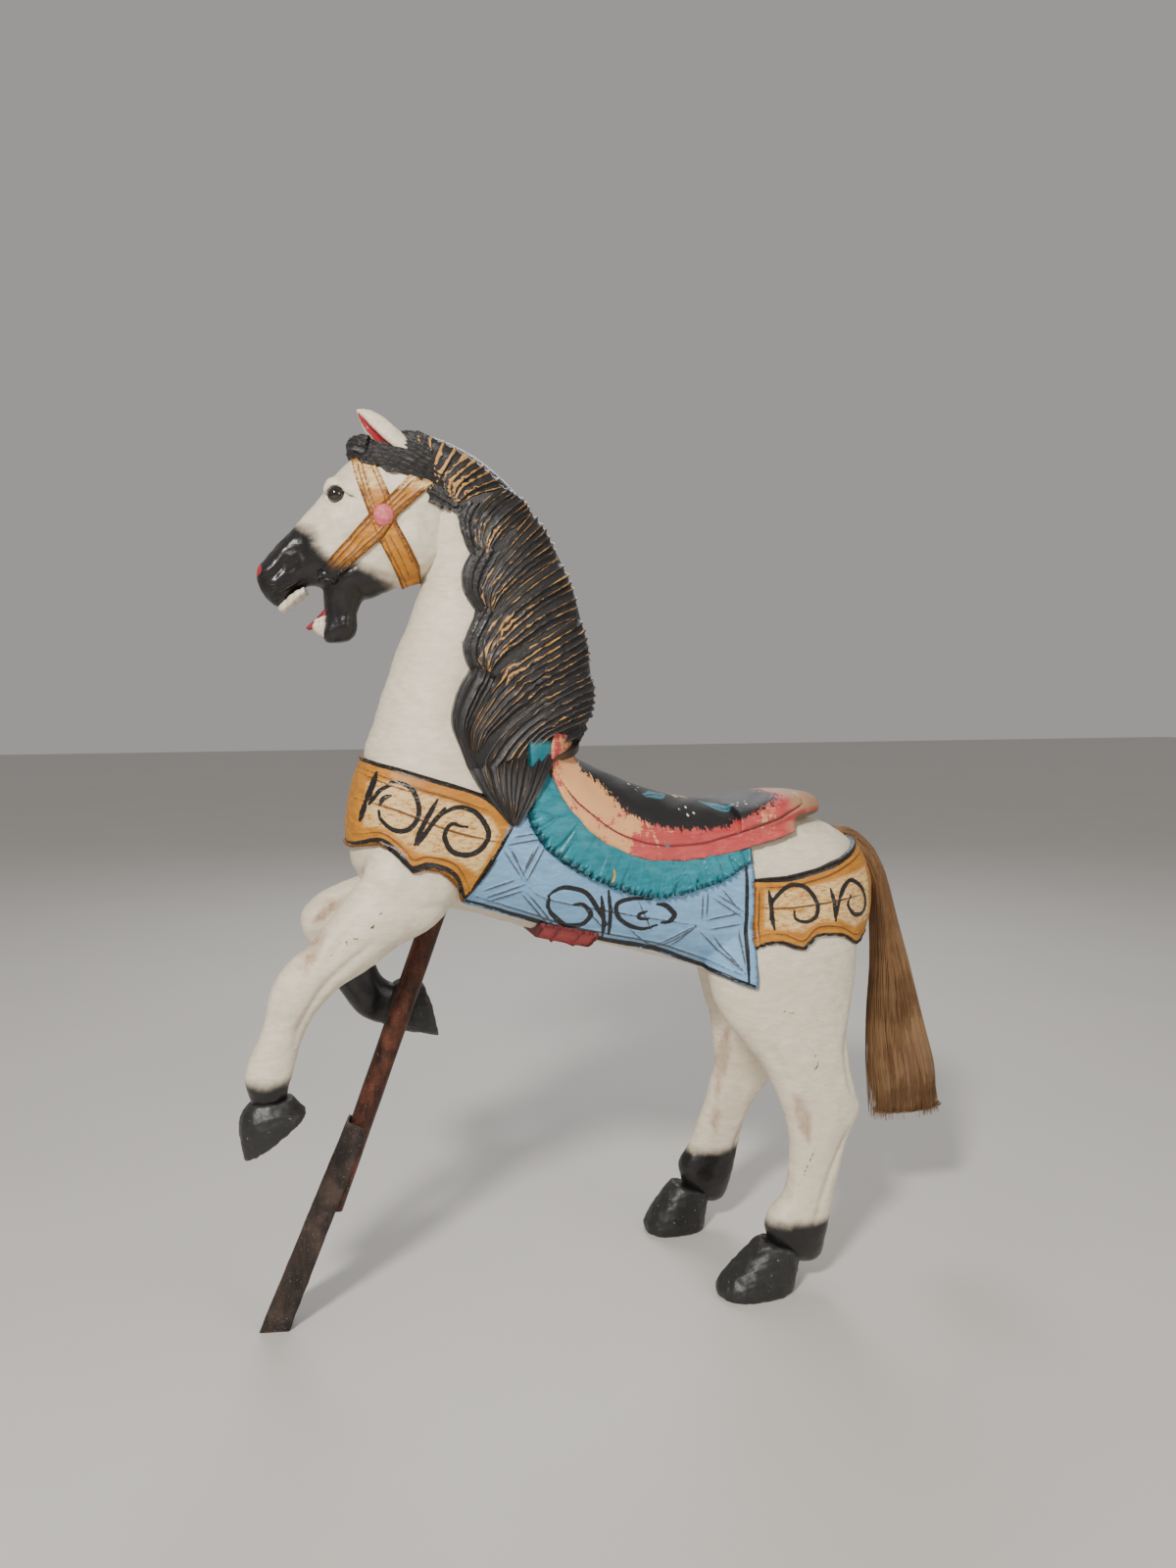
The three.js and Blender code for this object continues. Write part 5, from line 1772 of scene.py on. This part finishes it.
def tail():
    hair = horse_hair()
    rings = curve(TAIL[:11], 8)
    middle, reach = (rings[:, 0:2] + rings[:, 2:4]) / 2, (rings[:, 0:2] - rings[:, 2:4]) / 2
    along = np.concatenate([[0], np.cumsum(np.linalg.norm(np.diff(middle, axis=0), axis=1))])
    along /= along[-1]
    dice = np.random.default_rng(11)
    points, edges = [], []
    for k in range(STRANDS):
        angle, radius = dice.uniform(0, 2 * math.pi), math.sqrt(dice.uniform(0.25, 1)) * 0.98
        stop = dice.normal(0.97, 0.05) if k % 5 else dice.uniform(0.6, 1.0)
        side = math.cos(angle) * radius
        stop = min(stop, 1.0) * (1.0 if abs(side - 0.1) > 0.3 else 0.955)
        t = np.linspace(0, stop, STRAND_STEPS) ** 0.9
        at = [np.interp(t, along, values) for values in (*middle.T, *reach.T, rings[:, 4], rings[:, 5])]
        swirl = 0.25 * np.sin(t * dice.uniform(2, 6) + dice.uniform(0, 6.3)) * t
        clump = 1 + 0.10 * t * math.copysign(1, side) * (abs(side) > 0.2)
        s, c = np.sin(angle + swirl) * radius, np.cos(angle + swirl) * radius * clump
        path = np.stack([at[0] + at[2] * c, at[4] + at[5] * s, at[1] + at[3] * c], 1)
        start = len(points) * STRAND_STEPS
        points.append(path)
        edges.append(np.stack([np.arange(STRAND_STEPS - 1), np.arange(1, STRAND_STEPS)], 1) + start)
    mesh = bpy.data.meshes.new("paths")
    mesh.from_pydata(to_frame(np.vstack(points)).tolist(), np.vstack(edges).tolist(), [])
    strands = bpy.data.objects.new("paths", mesh)
    bpy.context.scene.collection.objects.link(strands)
    tree, thickness, stray, seed = hair_tool(hair)
    tool = strands.modifiers.new("hair", "NODES")
    tool.node_group = tree
    tool[thickness], tool[stray], tool[seed] = 0.00075, 0.016, 4
    graph = bpy.context.evaluated_depsgraph_get()
    made = bpy.data.meshes.new_from_object(strands.evaluated_get(graph))
    bpy.data.objects.remove(strands)
    hairs = bpy.data.objects.new("tail_strands", made)
    bpy.context.scene.collection.objects.link(hairs)
    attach(hairs, "root")
    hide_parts("hair_tail")
    hank = loft([[*(np.array(r[:4]) * 0.985 + np.array([(r[0] + r[2]) / 2, (r[1] + r[3]) / 2] * 2) * 0.015),
        r[4], r[5] * 0.93] for r in TAIL[:11]], 120, 8)
    sides = 120
    count = (len(hank.v) - 2) // sides
    turn = 2 * math.pi * np.arange(sides) / sides
    row = np.arange(count) / (count - 1)
    combed = sum(np.sin(k * turn[None] + 2.0 * dice.uniform(-1, 1) * row[:, None] + dice.uniform(0,
        6.3)) for k in (9, 17, 23, 31)) / 4
    shrink = -1.5 - 7 * ramp(row, 0.86, 1.0)[:, None]
    hank.push(np.concatenate([(1.8 * combed * ramp(row, 0, 0.15)[:, None] + shrink).ravel(), [0, 0]]))
    flow = np.concatenate([np.stack(np.broadcast_arrays(turn[None] * 0.014, row[:, None] * 0.42),
        -1).reshape(-1, 2), [[0, 0], [0, 0.42]]])
    piece("tail_hank", hank, hair, "hair_tail", None, flow)


# ---------------------------------------------------------------- prop

ROD = {"radius": 12.5, "top": (-111, 456), "slope": 0.364, "length": 352, "sunk": 40}
LEG = {"sheet": 3, "gap": 0.5, "slope": 0.431, "top": 226, "front": 17.5, "width": 25, "foot": 31,
    "flare": 4, "twist": 12}


def rod_x(z):
    return ROD["top"][0] - ROD["slope"] * (ROD["top"][1] - z)


def prop():
    lean = math.hypot(1, ROD["slope"])
    z_top = ROD["top"][1] + ROD["sunk"] / lean
    z_low = ROD["top"][1] - ROD["length"] / lean
    rows = []
    for z in np.linspace(z_top, z_low, 24):
        swell = 0.12 * math.sin(z * 0.7)
        half_x, half_z = (ROD["radius"] + swell) / lean, (ROD["radius"] + swell) * ROD["slope"] / lean
        rows.append([rod_x(z) - half_x, z + half_z, rod_x(z) + half_x, z - half_z, 0, ROD["radius"] + swell])
    rod = loft(rows, 64, 1, square=2)
    brown = patina_steel("rod_patina", (0.03, 0.016, 0.012), (0.115, 0.038, 0.022), 0.55, 0.26)
    piece("prop_tube", rod, brown, "prop_rod")
    grey = patina_steel("leg_patina", (0.022, 0.018, 0.016), (0.062, 0.042, 0.033), 0.5, 0.36)
    piece("prop_channel", channel(), grey, "prop_leg")


def channel():
    """The folded leg round the rod: two side plates and a front one, cut flat at the floor."""
    inner = ROD["radius"] + LEG["gap"]
    outer = inner + LEG["sheet"]
    length = LEG["top"] * math.hypot(1, LEG["slope"]) + LEG["foot"]
    lean = math.atan(LEG["slope"])

    def plate(near, far, at_top, at_foot):
        outline = [(0, 0), (at_top, 0), (at_foot, -length), (0, -length)]
        block = prism(outline, near, far)
        points = np.array([v.co for v in block.data.vertices])
        c, s = math.cos(-math.radians(LEG["twist"])), math.sin(-math.radians(LEG["twist"]))
        points[:, 0], points[:, 1] = points[:, 0] * c - points[:, 1] * s, points[:, 0] * s + points[:, 1] * c
        c, s = math.cos(lean), math.sin(lean)
        points[:, 0], points[:, 2] = points[:, 0] * c + points[:, 2] * s, -points[:, 0] * s + points[:, 2] * c
        points += (rod_x(LEG["top"]) - LEG["front"], 0, LEG["top"])
        block.data.vertices.foreach_set("co", points.ravel())
        return block

    plates = [
        plate(-outer, -inner, LEG["width"], LEG["foot"]),
        plate(inner, outer, LEG["width"] + LEG["flare"], LEG["foot"] - LEG["flare"]),
        plate(-outer, outer, LEG["sheet"], LEG["sheet"]),
    ]
    skin = melted([taken(block) for block in plates], 1.4)
    skin.smooth(0.5, 2)
    floor = [(-400, 0), (200, 0), (200, 500), (-400, 500)]
    skin = cut(skin, floor)
    skin.push(0.25 * waver(skin.v, 20, 60))
    skin.v[:, 2] = np.maximum(skin.v[:, 2], 0)
    return skin


# ---------------------------------------------------------------- all of it

stage()
cream, black_mane, glass = cream_paint(), mane_paint(), eye_glass()
horse_body()
hooves()
base = torso()
flat_layer("collar", base, COLLAR_OUTLINE, 4, ochre_paint(), {"ink": COLLAR_INK + COLLAR_RIM,
    "cut": COLLAR_CUT}, {"panel": COLLAR_PANEL})
flat_layer("blanket", base, BLANKET_OUTLINE, 4, blue_paint(), {"ink": BLANKET_INK, "cut": BLANKET_CUT}, {})
flat_layer("rump_strap", base, STRAP_OUTLINE, 4, ochre_paint(), {"ink": STRAP_INK, "cut": STRAP_CUT},
    {"panel": STRAP_PANEL})
ruffle(base)
saddle(base)
buckle(base)
mane()
head()
forelock()
mouth()
ears()
eyes()
tail()
prop()
